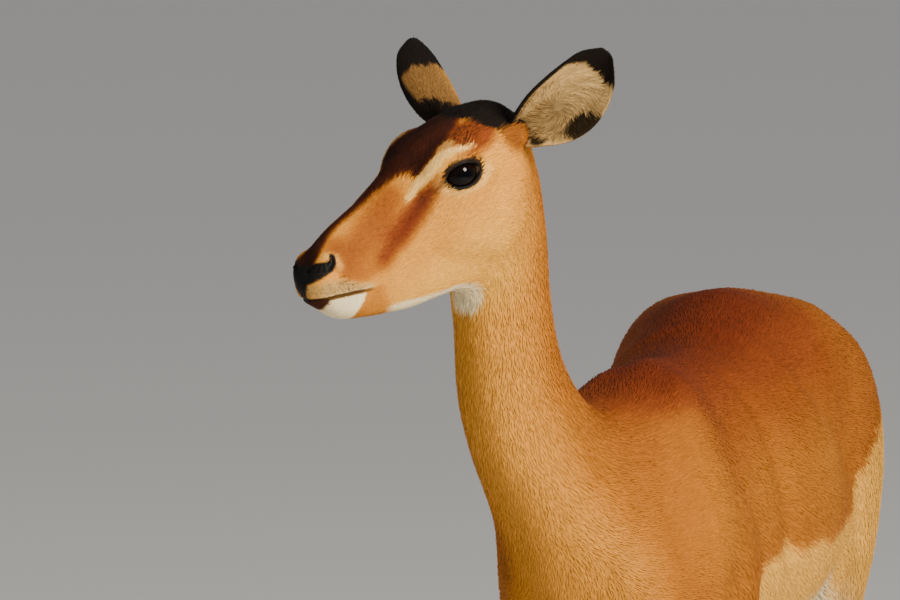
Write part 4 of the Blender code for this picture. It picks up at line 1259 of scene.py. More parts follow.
def marks_at(points, normals, leaf_facts, on_ear):
    """All marks at points on the skin."""
    marks = body_marks(points, normals)
    head_marks(points, marks)
    own = {}
    ear_marks(leaf_facts[on_ear], own)
    for name in MARKS:
        marks[name][on_ear] = own[name]
    return marks


skin_marks = marks_at(skin_points, skin_normals, leaf, ON_EAR)
for name in MARKS:
    print(f"{name}: {skin_marks[name].mean():.2f} of the skin on average")

# %% [markdown]
# ## Shader groups
#
# Two effects are shared by more than one material, so each is a node group: the colour of the coat,
# mixed from the marks, and the fine streaks of single hairs, which tint the colour and raise a bump.
# The streaks are drawn in the coordinates of the hair itself, long along it and narrow across it.


# %% Helpers for shaders
def group(name, inputs, outputs):
    """A node group with named sockets, its input node and its output node."""
    tree = bpy.data.node_groups.new(name, "ShaderNodeTree")
    for socket, kind in inputs:
        tree.interface.new_socket(socket, in_out="INPUT", socket_type=kind)
    for socket, kind in outputs:
        tree.interface.new_socket(socket, in_out="OUTPUT", socket_type=kind)
    return tree, tree.nodes.new("NodeGroupInput"), tree.nodes.new("NodeGroupOutput")


def math_node(tree, operation, first, second, clamp=False):
    node = tree.nodes.new("ShaderNodeMath")
    node.operation, node.use_clamp = operation, clamp
    for socket, value in zip(node.inputs, (first, second)):
        if isinstance(value, (int, float)):
            socket.default_value = value
        else:
            tree.links.new(value, socket)
    return node.outputs[0]


def mix_node(tree, share, first, second):
    node = tree.nodes.new("ShaderNodeMix")
    node.data_type = "RGBA"
    for name, value in (("Factor", share), ("A", first), ("B", second)):
        socket = node.inputs[name]
        if isinstance(value, (tuple, float, int)):
            socket.default_value = value
        else:
            tree.links.new(value, socket)
    return node.outputs["Result"]


FLOAT, COLOUR, VECTOR = "NodeSocketFloat", "NodeSocketColor", "NodeSocketVector"
print("groups use sockets of the kinds", FLOAT, COLOUR, VECTOR)

# %% Coat colour
# from the palest fawn to the darkest red-brown, by the amount of the red mark
REDS = ((0.0, (0.76, 0.390, 0.056)), (0.28, (0.59, 0.242, 0.030)), (0.50, (0.385, 0.128, 0.012)),
        (0.75, (0.210, 0.047, 0.008)), (1.0, (0.125, 0.020, 0.006)))
OVER_RED = (("cream", (0.72, 0.46, 0.15, 1)), ("white", (0.86, 0.73, 0.46, 1)),
            ("black", (0.008, 0.0055, 0.004, 1)), ("bare", (0.007, 0.006, 0.006, 1)))
HAIR_ROUGHNESS, PAD_ROUGHNESS = 0.72, 0.42

coat_colour, given, made = group(
    "coat colour", [(name, FLOAT) for name in (*MARKS, "shade")],
    [("Color", COLOUR), ("Roughness", FLOAT)])
steps = coat_colour.nodes.new("ShaderNodeValToRGB")
stops = steps.color_ramp.elements
for place, _ in REDS[1:-1]:
    stops.new(place)
for stop, (place, colour) in zip(stops, REDS):
    stop.position, stop.color = place, (*colour, 1)
coat_colour.links.new(given.outputs["red"], steps.inputs["Fac"])
mixed = steps.outputs["Color"]
for name, colour in OVER_RED:
    mixed = mix_node(coat_colour, given.outputs[name], mixed, colour)
shaded = coat_colour.nodes.new("ShaderNodeVectorMath")
shaded.operation = "SCALE"
coat_colour.links.new(mixed, shaded.inputs[0])
coat_colour.links.new(given.outputs["shade"], shaded.inputs["Scale"])
coat_colour.links.new(shaded.outputs[0], made.inputs["Color"])
rough = math_node(coat_colour, "MULTIPLY", given.outputs["bare"], PAD_ROUGHNESS - HAIR_ROUGHNESS)
coat_colour.links.new(math_node(coat_colour, "ADD", rough, HAIR_ROUGHNESS), made.inputs["Roughness"])
print("stops of red:", [round(stop.position, 2) for stop in stops])

# %% Hair streaks
hair_streaks, given, made = group(
    "hair streaks", [("Lie", VECTOR), ("Strength", FLOAT)], [("Height", FLOAT), ("Shade", FLOAT)])
streak = hair_streaks.nodes.new("ShaderNodeTexNoise")
streak.inputs["Scale"].default_value = 1.0
streak.inputs["Detail"].default_value = 3.0
streak.inputs["Roughness"].default_value = 0.6
hair_streaks.links.new(given.outputs["Lie"], streak.inputs["Vector"])
hair_streaks.links.new(streak.outputs["Fac"], made.inputs["Height"])
spread = math_node(hair_streaks, "SUBTRACT", streak.outputs["Fac"], 0.5)
spread = math_node(hair_streaks, "MULTIPLY", spread, given.outputs["Strength"])
hair_streaks.links.new(math_node(hair_streaks, "ADD", spread, 1.0), made.inputs["Shade"])
print("groups:", [g.name for g in bpy.data.node_groups])

# %% [markdown]
# ## Materials
#
# Skin and coat share both groups and read the same numbers from their points. Hair scatters light
# and has no mirror gloss, so the coat is rough, with very little shine. The bare nose pad is smoother,
# and the lid rims are dark and finely pebbled. The eye is wet and nearly black, with a dark brown
# iris and a wide level pupil. A hoof is dull horn with growth rings.


# %% Skin and coat
def material(name):
    made_material = bpy.data.materials.new(name)
    made_material.use_nodes = True
    tree = made_material.node_tree
    return made_material, tree, tree.nodes["Principled BSDF"]


def attribute(tree, name):
    """A number or vector that a piece carries on its points."""
    node = tree.nodes.new("ShaderNodeAttribute")
    node.attribute_name = name
    return node


def place_group(tree, made_group):
    node = tree.nodes.new("ShaderNodeGroup")
    node.node_tree = made_group
    return node


def bump(tree, shader, height, strength, distance):
    node = tree.nodes.new("ShaderNodeBump")
    node.inputs["Strength"].default_value = strength
    node.inputs["Distance"].default_value = distance
    tree.links.new(height, node.inputs["Height"])
    tree.links.new(node.outputs["Normal"], shader.inputs["Normal"])


def coat_material(name, strength, bump_depth):
    """Hair on the skin or in a lock. strength is how much the streaks tint it."""
    made_material, tree, shader = material(name)
    streaks = place_group(tree, hair_streaks)
    tree.links.new(attribute(tree, "lie").outputs["Vector"], streaks.inputs["Lie"])
    streaks.inputs["Strength"].default_value = strength
    colour = place_group(tree, coat_colour)
    for mark in MARKS:
        tree.links.new(attribute(tree, mark).outputs["Fac"], colour.inputs[mark])
    tone = attribute(tree, "tone").outputs["Fac"]
    tree.links.new(math_node(tree, "MULTIPLY", streaks.outputs["Shade"], tone), colour.inputs["shade"])
    tree.links.new(colour.outputs["Color"], shader.inputs["Base Color"])
    tree.links.new(colour.outputs["Roughness"], shader.inputs["Roughness"])
    bump(tree, shader, streaks.outputs["Height"], 0.6, bump_depth)
    shader.inputs["Specular IOR Level"].default_value = 0.07
    return made_material


skin_material = coat_material("short coat on the skin", 0.80, 0.0006)
tuft_material = coat_material("locks of hair", 0.90, 0.0003)
print("coat materials:", skin_material.name, "and", tuft_material.name)

# %% Lid, eye and horn
lid_material, tree, shader = material("lid rim")
shader.inputs["Base Color"].default_value = (0.006, 0.004, 0.0035, 1)
shader.inputs["Roughness"].default_value = 0.55
shader.inputs["Specular IOR Level"].default_value = 0.16
pebbles = tree.nodes.new("ShaderNodeTexNoise")
pebbles.inputs["Scale"].default_value = 900
bump(tree, shader, pebbles.outputs["Fac"], 0.35, 0.0003)

eye_material, tree, shader = material("wet eye")
iris = attribute(tree, "iris").outputs["Fac"]
pupil = attribute(tree, "pupil").outputs["Fac"]
fibres = tree.nodes.new("ShaderNodeTexNoise")
fibres.inputs["Scale"].default_value = 700
brown = mix_node(tree, fibres.outputs["Fac"], (0.002, 0.001, 0.0008, 1), (0.005, 0.002, 0.001, 1))
round_pupil = mix_node(tree, iris, (0.004, 0.003, 0.0025, 1), brown)
tree.links.new(mix_node(tree, pupil, round_pupil, (0.001, 0.001, 0.0015, 1)), shader.inputs["Base Color"])
shader.inputs["Roughness"].default_value = 0.03
shader.inputs["Specular IOR Level"].default_value = 0.10

horn_material, tree, shader = material("hoof horn")
rings = tree.nodes.new("ShaderNodeTexNoise")
where = tree.nodes.new("ShaderNodeNewGeometry")
squeeze = tree.nodes.new("ShaderNodeVectorMath")
squeeze.operation = "MULTIPLY"
squeeze.inputs[1].default_value = (60, 60, 700)
tree.links.new(where.outputs["Position"], squeeze.inputs[0])
tree.links.new(squeeze.outputs[0], rings.inputs["Vector"])
rings.inputs["Scale"].default_value = 1.0
rings.inputs["Detail"].default_value = 3.0
tree.links.new(mix_node(tree, rings.outputs["Fac"], (0.010, 0.009, 0.009, 1), (0.050, 0.042, 0.036, 1)),
               shader.inputs["Base Color"])
shader.inputs["Roughness"].default_value = 0.48
bump(tree, shader, rings.outputs["Fac"], 0.5, 0.0005)
print("other materials:", lid_material.name, eye_material.name, horn_material.name)

# %% [markdown]
# ## Numbers on points
#
# The materials read the marks and the hair's coordinates from the points of each mesh. On the skin the
# coordinates are the place in the nearest loft, squeezed along the hair so that the streaks are long.

# %% Give the skin its numbers
STREAK_SCALE = (140, 1500, 1500)  # streaks in a metre along the hair, across it and up


def give(mesh, name, values, kind="FLOAT"):
    """Put a number or a vector on every point of a mesh."""
    field = mesh.attributes.new(name, kind, "POINT").data
    values = np.asarray(values, np.float32)
    field.foreach_set("value" if kind == "FLOAT" else "vector", values.ravel())


def finish_piece(obj, its_slot, *nodes):
    """Move a piece from the body's space into the frame and hang it on the model."""
    obj.data.transform(Matrix.Translation(SHIFT))
    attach(obj, "root")
    if nodes:
        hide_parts(*nodes)


for name in MARKS:
    give(skin.data, name, skin_marks[name])
give(skin.data, "tone", 0.90 + 0.06 * wander(skin_points, 0.008))
give(skin.data, "lie", skin_place * STREAK_SCALE, "FLOAT_VECTOR")
skin.data.materials.clear()
skin.data.materials.append(skin_material)
print("numbers on the skin:", [n for n in (*MARKS, "tone", "lie") if n in skin.data.attributes])

# %% Unwrap the skin
bpy.context.view_layer.objects.active = skin
skin.select_set(True)
skin.data.uv_layers.new(name="OFBake")
bpy.ops.object.mode_set(mode="EDIT")
bpy.ops.mesh.select_all(action="SELECT")
bpy.ops.uv.smart_project(angle_limit=1.15, island_margin=0.001)
bpy.ops.object.mode_set(mode="OBJECT")
skin_uv = numbers(skin.data.uv_layers["OFBake"].data, "uv", 2).astype(float).reshape(-1, 3, 2)
print("unwrapped faces:", len(skin_uv))

# %% [markdown]
# ## Eyes and lids
#
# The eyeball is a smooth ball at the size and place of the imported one. The lids are soft dark rims
# that start on the ball, swell over its edge and sink under the skin's hollow, so each is a band round
# an almond: the inner edge lies on the ball, and the outer edge is found by looking for the skin from
# outside. The almond is longest towards the nose, where the tear duct starts. Lashes are thin spikes.

# %% Eyeballs
IRIS = (0.0135, 0.0150)  # where the iris starts and stops fading out
PUPIL = (0.0088, 0.0046)  # half length and half height


def mirrored(points, side):
    """Head-space points of the left side, on the wanted side, in the body's space."""
    return np.array(HEAD_PLACE) + (points * (1, side, 1)) @ HEAD_TURN.T


def eyeball(side, name):
    bm = bmesh.new()
    place = Matrix.Translation(in_head(EYE_PLACE * (1, side, 1)))
    bmesh.ops.create_icosphere(bm, subdivisions=6, radius=EYE_RADIUS, matrix=place)
    obj = object_from(name, bm)
    obj.data.shade_smooth()
    fore, out, up = eye_place(mirrored_head(points_of(obj.data)))
    wide = np.hypot(fore, up)
    give(obj.data, "iris", 1 - ramp(wide, *IRIS))
    pupil = np.hypot(fore / PUPIL[0], up / PUPIL[1])
    give(obj.data, "pupil", (1 - ramp(pupil, 0.88, 1.06)) * (out > 0))
    obj.data.materials.append(eye_material)
    return obj


for side, word in ((1, "left"), (-1, "right")):
    finish_piece(eyeball(side, f"eyeball_{word}"), "eye", f"eye_{word}")
print("eyeballs are", round(2000 * EYE_RADIUS), "mm across")

# %% The lids' rings
AROUND = 72  # points round a lid
INNER_RIM, OUTER_RIM = (0.0174, 0.0106), (0.0218, 0.0138)  # half length and half height of both edges
# share of the way out, and the height over the straight line between the two edges
LID_PROFILE = ((0.0, 0.0), (0.06, 0.0010), (0.18, 0.0019), (0.36, 0.0023), (0.58, 0.0021),
               (0.80, 0.0012), (0.95, 0.0002), (1.05, -0.0022))


def almond(theta, wide, high):
    """A closed curve in the eye's plane, drawn out to a corner towards the nose and a little behind."""
    c, s = np.cos(theta), np.sin(theta)
    fore = wide * c + 0.0036 * np.maximum(c, 0) ** 7 - 0.0006 * np.maximum(-c, 0) ** 7
    return fore, high * np.sign(s) * np.abs(s) ** 1.15 - 0.0012 * np.maximum(c, 0) ** 5


def skin_out(fore, up):
    """How far out the skin lies at places in the eye's plane."""
    base = EYE_PLACE + fore[:, None] * EYE_FORE + up[:, None] * EYE_UP
    found = np.full(len(fore), 0.0)
    for step in np.linspace(0.030, 0.0, 61):
        inside = skin_value(mirrored(base + step * EYE_OUT, 1)) < 0
        found = np.where((found == 0) & inside, step, found)
    return found


def lid_rings():
    theta = np.linspace(0, math.tau, AROUND, endpoint=False)
    inner_fore, inner_up = almond(theta, *INNER_RIM)
    inner_out = np.sqrt(np.maximum((EYE_RADIUS - 0.0004) ** 2 - inner_fore**2 - inner_up**2, 1e-6))
    outer_fore, outer_up = almond(theta, *OUTER_RIM)
    outer_out = skin_out(outer_fore, outer_up)
    outer_out = (np.roll(outer_out, 1) + 2 * outer_out + np.roll(outer_out, -1)) / 4
    rings = []
    for share, lift in LID_PROFILE:
        fore = inner_fore + share * (outer_fore - inner_fore)
        up = inner_up + share * (outer_up - inner_up)
        out = inner_out + share * (outer_out - inner_out) + lift
        ball = np.sqrt(np.maximum((EYE_RADIUS + 0.0007) ** 2 - fore**2 - up**2, 0))
        if 0.0 < share < 0.6:
            out = np.maximum(out, ball)
        rings.append(EYE_PLACE + fore[:, None] * EYE_FORE + out[:, None] * EYE_OUT + up[:, None] * EYE_UP)
    return rings


LID_RINGS = lid_rings()
print("rings of a lid:", len(LID_RINGS), "of", AROUND, "points")

# %% Lids and lashes
# where lashes start and end round the eye, how many, how long, and how far they droop
LASHES = ((0.35, 2.75, 46, 0.0095, -0.30), (3.9, 5.6, 16, 0.0045, -0.75))
LASH_HALF = 0.00022  # half thickness of a lash


def add_lash(bm, side, foot, droop, long, stray):
    """A thin three-sided spike, bent outwards and away from the eye's middle."""
    spoke = unit(foot - EYE_PLACE - ((foot - EYE_PLACE) @ EYE_OUT) * EYE_OUT)
    grow = unit(EYE_OUT * 1.0 + spoke * 0.55 + EYE_UP * droop + stray)
    across = unit(np.cross(grow, spoke)) * LASH_HALF
    lift = unit(np.cross(across, grow)) * LASH_HALF
    middle = foot + grow * long * 0.55
    tip = foot + grow * long + (spoke * 0.25 + EYE_UP * 0.12 * np.sign(spoke @ EYE_UP)) * long
    corners = np.array([-across, across, lift])
    root, half = ([bm.verts.new(point) for point in mirrored(at + corners * share, side)]
                  for at, share in ((foot, 1), (middle, 0.7)))
    end = bm.verts.new(mirrored(tip[None], side)[0])
    for a, b in ((0, 1), (1, 2), (2, 0)):
        bm.faces.new((root[a], root[b], half[b], half[a]))
        bm.faces.new((half[a], half[b], end))
    bm.faces.new(root[::-1])


def lids(side, name):
    bm = bmesh.new()
    rings = [[bm.verts.new(point) for point in mirrored(ring, side)] for ring in LID_RINGS]
    for low, high in zip(rings, rings[1:]):
        for k in range(AROUND):
            m = (k + 1) % AROUND
            bm.faces.new((low[k], low[m], high[m], high[k]))
    lashes = np.random.default_rng(11)
    for start, end, count, length, droop in LASHES:
        for angle in np.linspace(start, end, count) + lashes.normal(0, 0.02, count):
            k = int(angle / math.tau * AROUND) % AROUND
            stray = lashes.normal(0, 0.10, 3)
            add_lash(bm, side, LID_RINGS[2][k], droop, length * lashes.uniform(0.7, 1.1), stray)
    obj = object_from(name, bm)
    obj.data.shade_smooth()
    obj.data.materials.append(lid_material)
    return obj


for side, word in ((1, "left"), (-1, "right")):
    finish_piece(lids(side, f"lids_{word}"), "eye")
print("lashes on each eye:", sum(row[2] for row in LASHES))

# %% [markdown]
# ## Claws
#
# An antelope stands on two claws per foot, each a wedge of horn with a flat inner wall against its
# neighbour, a rounded outer wall, a pointed toe and a flat sole. Each is a stack of rings from sole to
# coronet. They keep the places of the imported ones.

# %% Eight claws
CLAW_HEIGHT, CLAW_LENGTH = 0.030, 0.056
CLAW_LEVELS = (0.0, 0.03, 0.18, 0.34, 0.50, 0.66, 0.82, 1.0, 1.12)  # shares of the height
FOOT = {"fore": (0.066, -0.254), "hind": (0.074, 0.384)}  # x and y of a foot before its stride
FACETS = 20  # points round the outer wall


def claw_ring(level):
    """One ring as points across and back from the foot's middle, outer wall first."""
    shrink = np.interp(level, (0, 0.03, 0.35, 1.0, 1.12), (0.97, 1.0, 0.96, 0.74, 0.60))
    back, front = 0.020 - 0.004 * level, 0.020 - CLAW_LENGTH + 0.024 * level
    ring = []
    for k in range(FACETS):
        share = k / (FACETS - 1)
        bulge = max(math.sin(math.pi * (0.16 + 0.84 * share) ** 0.8), 0.03) ** 0.8
        ring.append((0.0015 + 0.0185 * shrink * bulge, back + (front - back) * share))
    for k in range(FACETS - 2, -1, -2):
        ring.append((0.0012, back + (front - back) * k / (FACETS - 1)))
    return ring


def claw(kind, side, outer, name):
    x, y = FOOT[kind]
    y += STRIDE[f"{kind}_{'left' if side > 0 else 'right'}"]
    bm = bmesh.new()
    stack = [[bm.verts.new((side * (x + outer * across), y + along, level * CLAW_HEIGHT))
              for across, along in claw_ring(level)] for level in CLAW_LEVELS]
    for low, high in zip(stack, stack[1:]):
        for k in range(len(low)):
            m = (k + 1) % len(low)
            bm.faces.new((low[k], low[m], high[m], high[k]))
    bm.faces.new(stack[0][::-1])
    bm.faces.new(stack[-1])
    obj = object_from(name, bm)
    obj.data.shade_smooth()
    obj.data.set_sharp_from_angle(angle=math.radians(50))
    obj.data.materials.append(horn_material)
    return obj


for kind in ("fore", "hind"):
    for side, word in ((1, "left"), (-1, "right")):
        for outer, place_word in ((1, "outer"), (-1, "inner")):
            finish_piece(claw(kind, side, outer, f"claw_{kind}_{word}_{place_word}"), "hoof",
                         f"{kind}hoof_{word}_{place_word}")

# %% [markdown]
# ## How long the hair is, and how it stands
#
# The coat is short and sleek. Locks are about a centimetre long on the trunk, half that on the head and
# a few millimetres on the muzzle, and lie almost flat. The crown, the throat, the belly, the buttocks,
# the tufts above the hind hooves and the ears' bowls have longer hair, and the tail's is longest. Each
# place gets a length, a width, a height of the tip above the skin, a density and a scatter of direction.

# %% Kinds of coat
# length, width, height of the tip, locks per square metre and scatter in radians
PLAN = {
    "trunk": (0.0105, 0.00130, 0.0017, 88e3, 0.13),
    "neck": (0.0085, 0.00120, 0.0016, 135e3, 0.16),
    "leg": (0.0075, 0.00150, 0.0014, 120e3, 0.14),
    "foot": (0.0060, 0.00130, 0.0012, 150e3, 0.16),
    "belly": (0.0180, 0.0022, 0.0050, 75e3, 0.22),
    "buttocks": (0.0140, 0.0018, 0.0034, 110e3, 0.13),
    "hind tuft": (0.0200, 0.0017, 0.0060, 260e3, 0.20),
    "coronet": (0.0080, 0.0013, 0.0030, 220e3, 0.2),
    "tail": (0.042, 0.0024, 0.0045, 460e3, 0.06),
    "head": (0.0056, 0.00105, 0.0013, 350e3, 0.17),
    "crown": (0.0130, 0.00130, 0.0036, 330e3, 0.26),
    "temple": (0.0110, 0.0011, 0.0026, 400e3, 0.24),
    "nose": (0.0040, 0.00085, 0.0008, 430e3, 0.15),
    "muzzle": (0.0028, 0.00065, 0.0005, 520e3, 0.20),
    "throat": (0.0130, 0.0014, 0.0036, 300e3, 0.24),
    "ear back": (0.0050, 0.00100, 0.0007, 330e3, 0.12),
    "ear bowl": (0.0150, 0.00085, 0.0034, 620e3, 0.22),
    "bowl's end": (0.0050, 0.00085, 0.0007, 330e3, 0.12),
    "ear edge": (0.0026, 0.0007, 0.0004, 420e3, 0.10),
}
DENSE = 3  # the column of locks per square metre
print("kinds of coat:", len(PLAN), "longest:", PLAN["tail"][0], "m on the tail")


# %% Where each kind grows
def body_places(points, normals):
    """Where each kind of coat on the body grows, in the order in which they are laid."""
    x, y, z = points.T
    hind_tuft = ramp(y, 0.1, 0.2) * ramp(z, 0.106, 0.118) * (1 - ramp(z, 0.160, 0.180))
    return {
        "neck": ramp(-y - 0.30 * (z - 0.72), 0.20, 0.30),
        "leg": 1 - ramp(z, 0.40, 0.52),
        "foot": 1 - ramp(z, 0.10, 0.20),
        "belly": ramp(-normals[:, 2], 0.35, 0.75) * ramp(z, 0.46, 0.50) * ramp(y, -0.36, -0.25),
        "buttocks": ramp(y, 0.40, 0.44) * ramp(z, 0.52, 0.60),
        "hind tuft": hind_tuft * ramp(normals[:, 1], 0.1, 0.5),
        "coronet": 1 - ramp(z, 0.036, 0.046),
        "tail": ramp(y, 0.462, 0.474) * (1 - ramp(np.abs(x), 0.018, 0.024)) * (1 - ramp(z, 0.795, 0.810)),
    }


def head_places(points):
    h = mirrored_head(points)
    head = ramp(points[:, 2], 0.93, 0.97) * ramp(h[:, 0], -0.105, -0.075) * ramp(h[:, 2], -0.175, -0.115)
    crown = near_line(h, [((-0.060, 0, 0.030), 0.028), ((-0.072, 0.036, 0.004), 0.020)])
    return {
        "head": head,
        "crown": 1 - ramp(crown, -0.004, 0.004),
        "temple": patch(h, (-0.028, 0.046, 0.018), (0.018, 0.014, 0.018)),
        "nose": head * ramp(h[:, 0], 0.06, 0.13),
        "muzzle": head * ramp(h[:, 0], 0.140, 0.160),
        "throat": patch(h, (0.054, 0, -0.124), (0.020, 0.032, 0.020)),
    }


def ear_places(leaf_facts, on_ear):
    u, v, inside = leaf_facts.T
    bowl = on_ear * (inside > 0.5)
    return {
        "ear back": on_ear * (inside < 0.5),
        "ear bowl": bowl,
        "bowl's end": bowl * ramp(u, 0.70, 0.80),
        "ear edge": on_ear * np.maximum(ramp(np.abs(v), 0.60, 0.86), ramp(u, 0.88, 0.95)),
    }


def bald_places(points, bare):
    """Where no hair grows: the nose pad, under the lids, under the claws' tops and between the lips."""
    h, z = mirrored_head(points), points[:, 2]
    fore, out, up = eye_place(h)
    eye_hole = (np.hypot(fore / 0.0205, up / 0.0165) < 1) & (out > 0) & (z > 0.93)
    between_lips = (near_line(h, MOUTH) < 0.0022) * (z > 0.93)
    return np.maximum.reduce([bare, eye_hole.astype(float), (z < 0.031).astype(float), between_lips])


kinds = {**body_places(skin_points, skin_normals), **head_places(skin_points), **ear_places(leaf, ON_EAR)}
plan = np.tile(np.array(PLAN["trunk"]), (len(skin_points), 1))
for name, mask in kinds.items():
    for column, wanted in enumerate(PLAN[name]):
        plan[:, column] += (wanted - plan[:, column]) * mask
plan[:, DENSE] *= 1 - ON_EAR * (1 - ramp(leaf[:, 0], 0.02, 0.08))
plan[:, DENSE] *= 1 - ramp(bald_places(skin_points, skin_marks["bare"]), 0.25, 0.6)
print("locks per square metre, on average over the points:", round(plan[:, DENSE].mean()))

# %% [markdown]
# ## The locks
#
# A lock of hair is a flat, closed blade: two corners at its root, two and a ridge at its middle, and
# its tip. Roots are scattered over the skin's triangles, as many as the plan asks for. Middle and tip
# are set at their height over the field, so that a lock follows the body round a bend instead of
# sticking out. Millions of hairs would say no more at arm's length, and thousands of separate objects
# would be slow, so the locks are arrays, joined into a few pieces of one mesh each.

# %% Roots on the skin
corners = skin_points[skin_faces]
areas = np.linalg.norm(np.cross(corners[:, 1] - corners[:, 0], corners[:, 2] - corners[:, 0]), axis=1) / 2
wanted = areas * plan[skin_faces, DENSE].mean(1)
counts = np.floor(wanted + rng.random(len(wanted))).astype(int)
root_face = np.repeat(np.arange(len(skin_faces)), counts)
count = len(root_face)
shares = rng.random((count, 2))
flip = shares.sum(1) > 1
shares[flip] = 1 - shares[flip]
shares = np.column_stack([1 - shares.sum(1), shares])
root_points = skin_faces[root_face]


def at_roots(table):
    """A number or vector of the skin's points, at each root."""
    if table.ndim == 1:
        return (table[root_points] * shares).sum(1)
    return (table[root_points] * shares[:, :, None]).sum(1)


root = at_roots(skin_points)
normal = unit(at_roots(skin_normals))
long, wide, rise, _, scatter = at_roots(plan).T
root_leaf = at_roots(leaf)
root_on_ear = ON_EAR[root_points[:, 0]]
root_uv = (skin_uv[root_face] * shares[:, :, None]).sum(1)
print("locks:", count, "on", round(areas.sum(), 3), "square metres of skin")

# %% Direction and size of every lock
long = long * rng.uniform(0.72, 1.25, count)
wide = wide * rng.uniform(0.75, 1.25, count)
height = rise * rng.uniform(0.35, 1.10, count)
way = flat(at_roots(skin_way), normal)
side_way = np.cross(way, normal)
turn = scatter * (0.75 * rng.normal(0, 1, count) + 0.8 * wander(root, 0.022))
way = way * np.cos(turn)[:, None] + side_way * np.sin(turn)[:, None]
side_way = np.cross(way, normal)
print("longest lock, mm:", round(long.max() * 1000, 1), "mean width, mm:", round(wide.mean() * 1000, 2))

# %% Shape of every lock
ROOT_DEPTH = 0.0004  # how far a lock starts under the skin
MOST_THICK = 0.0003
LOCK_FACES = np.array([(1, 0, 2), (1, 2, 3), (3, 2, 5), (0, 1, 4),
                       (0, 4, 2), (1, 3, 4), (2, 4, 5), (4, 3, 5)])
LOCK_TILT = np.array([-0.55, 0.55, -0.65, 0.65, 0.0, 0.0])  # place across the lock
LOCK_LENGTH = np.array([0.0, 0.0, 0.5, 0.5, 0.5, 1.0])  # place along it
LOCK_POINTS = len(LOCK_TILT)


def over_skin(points, wanted_height):
    """Points moved to a height over the skin. On an ear the plane at the root stands for the skin."""
    moved = points + normal * wanted_height[:, None]
    body = ~root_on_ear
    value = skin_value(moved[body])
    change = np.clip(wanted_height[body] - value, -0.02, 0.012)
    moved[body] += normal[body] * change[:, None]
    return moved


start = root - normal * ROOT_DEPTH
middle = over_skin(root + way * (long * 0.5)[:, None], height * 0.62)
tip = over_skin(root + way * long[:, None], height)
thick = np.minimum(wide * 0.15, MOST_THICK)
rows = np.stack([
    start - side_way * (wide * 0.36)[:, None],
    start + side_way * (wide * 0.36)[:, None],
    middle - side_way * (wide * 0.50)[:, None],
    middle + side_way * (wide * 0.50)[:, None],
    middle + normal * thick[:, None],
    tip,
], 1)
print("a lock has", LOCK_POINTS, "points, and all locks have", count * len(LOCK_FACES), "triangles")

# %% Marks, tone and painted root shade of every lock
STRAY = 0.0009  # how far from its root a lock takes its marks, less on the head, more on the body
shift = rng.normal(0, 1, (count, 3)) * STRAY * np.where(root[:, 2:3] > 0.93, 0.6, 2.0)
shift[root[:, 1] > 0.46] *= 0.3  # the tail's line stays clean
lock_marks = marks_at(root + shift, normal, root_leaf, root_on_ear)
tone = 1.0 + 0.07 * rng.normal(0, 1, count) + 0.07 * wander(root, 0.012) + 0.07 * wander(root, 0.045)
tone += rng.normal(0, 1, count) * np.where(root[:, 2] > 0.80, 0.09, 0.02)
tone = np.clip(tone, 0.55, 1.45)
dark_hair = rng.random(count) < 0.06
tone[dark_hair] *= 0.84
# each lock is darker at its root and lighter at its tip: painted shade where the locks cover one another's
# roots
lock_tone_and_root_shade = tone[:, None] * (0.90 + 0.13 * LOCK_LENGTH)
print("dark locks:", int(dark_hair.sum()))

# %% Streak coordinates, unwrap and soft normals of every lock
STREAK_WIDTH = 0.0011  # a lock this wide shows one set of streaks
UV_HALF = 0.0015  # half size of a lock's patch on the unwrap, at its root's place on the skin's
# along and across the lock, each started at a random place so that no two locks look alike
lie = np.stack([LOCK_LENGTH * (long * 110)[:, None] + rng.random((count, 1)) * 90,
                LOCK_TILT * 1.6 * (wide / STREAK_WIDTH)[:, None] + rng.random((count, 1)) * 400,
                np.broadcast_to(rng.random((count, 1)) * 50, (count, LOCK_POINTS))], 2)
patch_uv = np.array([(-1, -1), (1, -1), (-1, 0), (1, 0), (0, 0), (0, 1)]) * UV_HALF
lock_uv = np.clip(root_uv[:, None] + patch_uv, 0.001, 0.999)
# leaning normals make a flat lock look round
soft_normals = unit(normal[:, None] + side_way[:, None] * LOCK_TILT[:, None] * 0.55 + way[:, None] * 0.08)
print("unwrap of the locks:", lock_uv.shape)

# %% Pieces of coat
MOST_LOCKS = 24000  # in one piece
FLESH = [name for name in frame["nodes"] if "hoof" not in name and not name.startswith("eye_")]


def coat_piece(name, chosen):
    number = len(chosen)
    mesh = bpy.data.meshes.new(name)
    mesh.vertices.add(number * LOCK_POINTS)
    mesh.vertices.foreach_set("co", rows[chosen].astype(np.float32).ravel())
    faces = (LOCK_FACES[None] + LOCK_POINTS * np.arange(number)[:, None, None]).reshape(-1)
    mesh.loops.add(len(faces))
    mesh.loops.foreach_set("vertex_index", faces.astype(np.int32))
    mesh.polygons.add(len(faces) // 3)
    mesh.polygons.foreach_set("loop_start", np.arange(0, len(faces), 3, dtype=np.int32))
    mesh.update(calc_edges=True)
    mesh.shade_smooth()
    layer = mesh.uv_layers.new(name="OFBake")
    layer.data.foreach_set("uv", lock_uv[chosen].reshape(-1, 2)[faces].astype(np.float32).ravel())
    for mark in MARKS:
        give(mesh, mark, np.repeat(lock_marks[mark][chosen], LOCK_POINTS))
    give(mesh, "tone", lock_tone_and_root_shade[chosen])
    give(mesh, "lie", lie[chosen], "FLOAT_VECTOR")
    mesh.normals_split_custom_set_from_vertices(soft_normals[chosen].reshape(-1, 3).astype(np.float32))
    mesh.materials.append(tuft_material)
    return new_object(name, mesh)


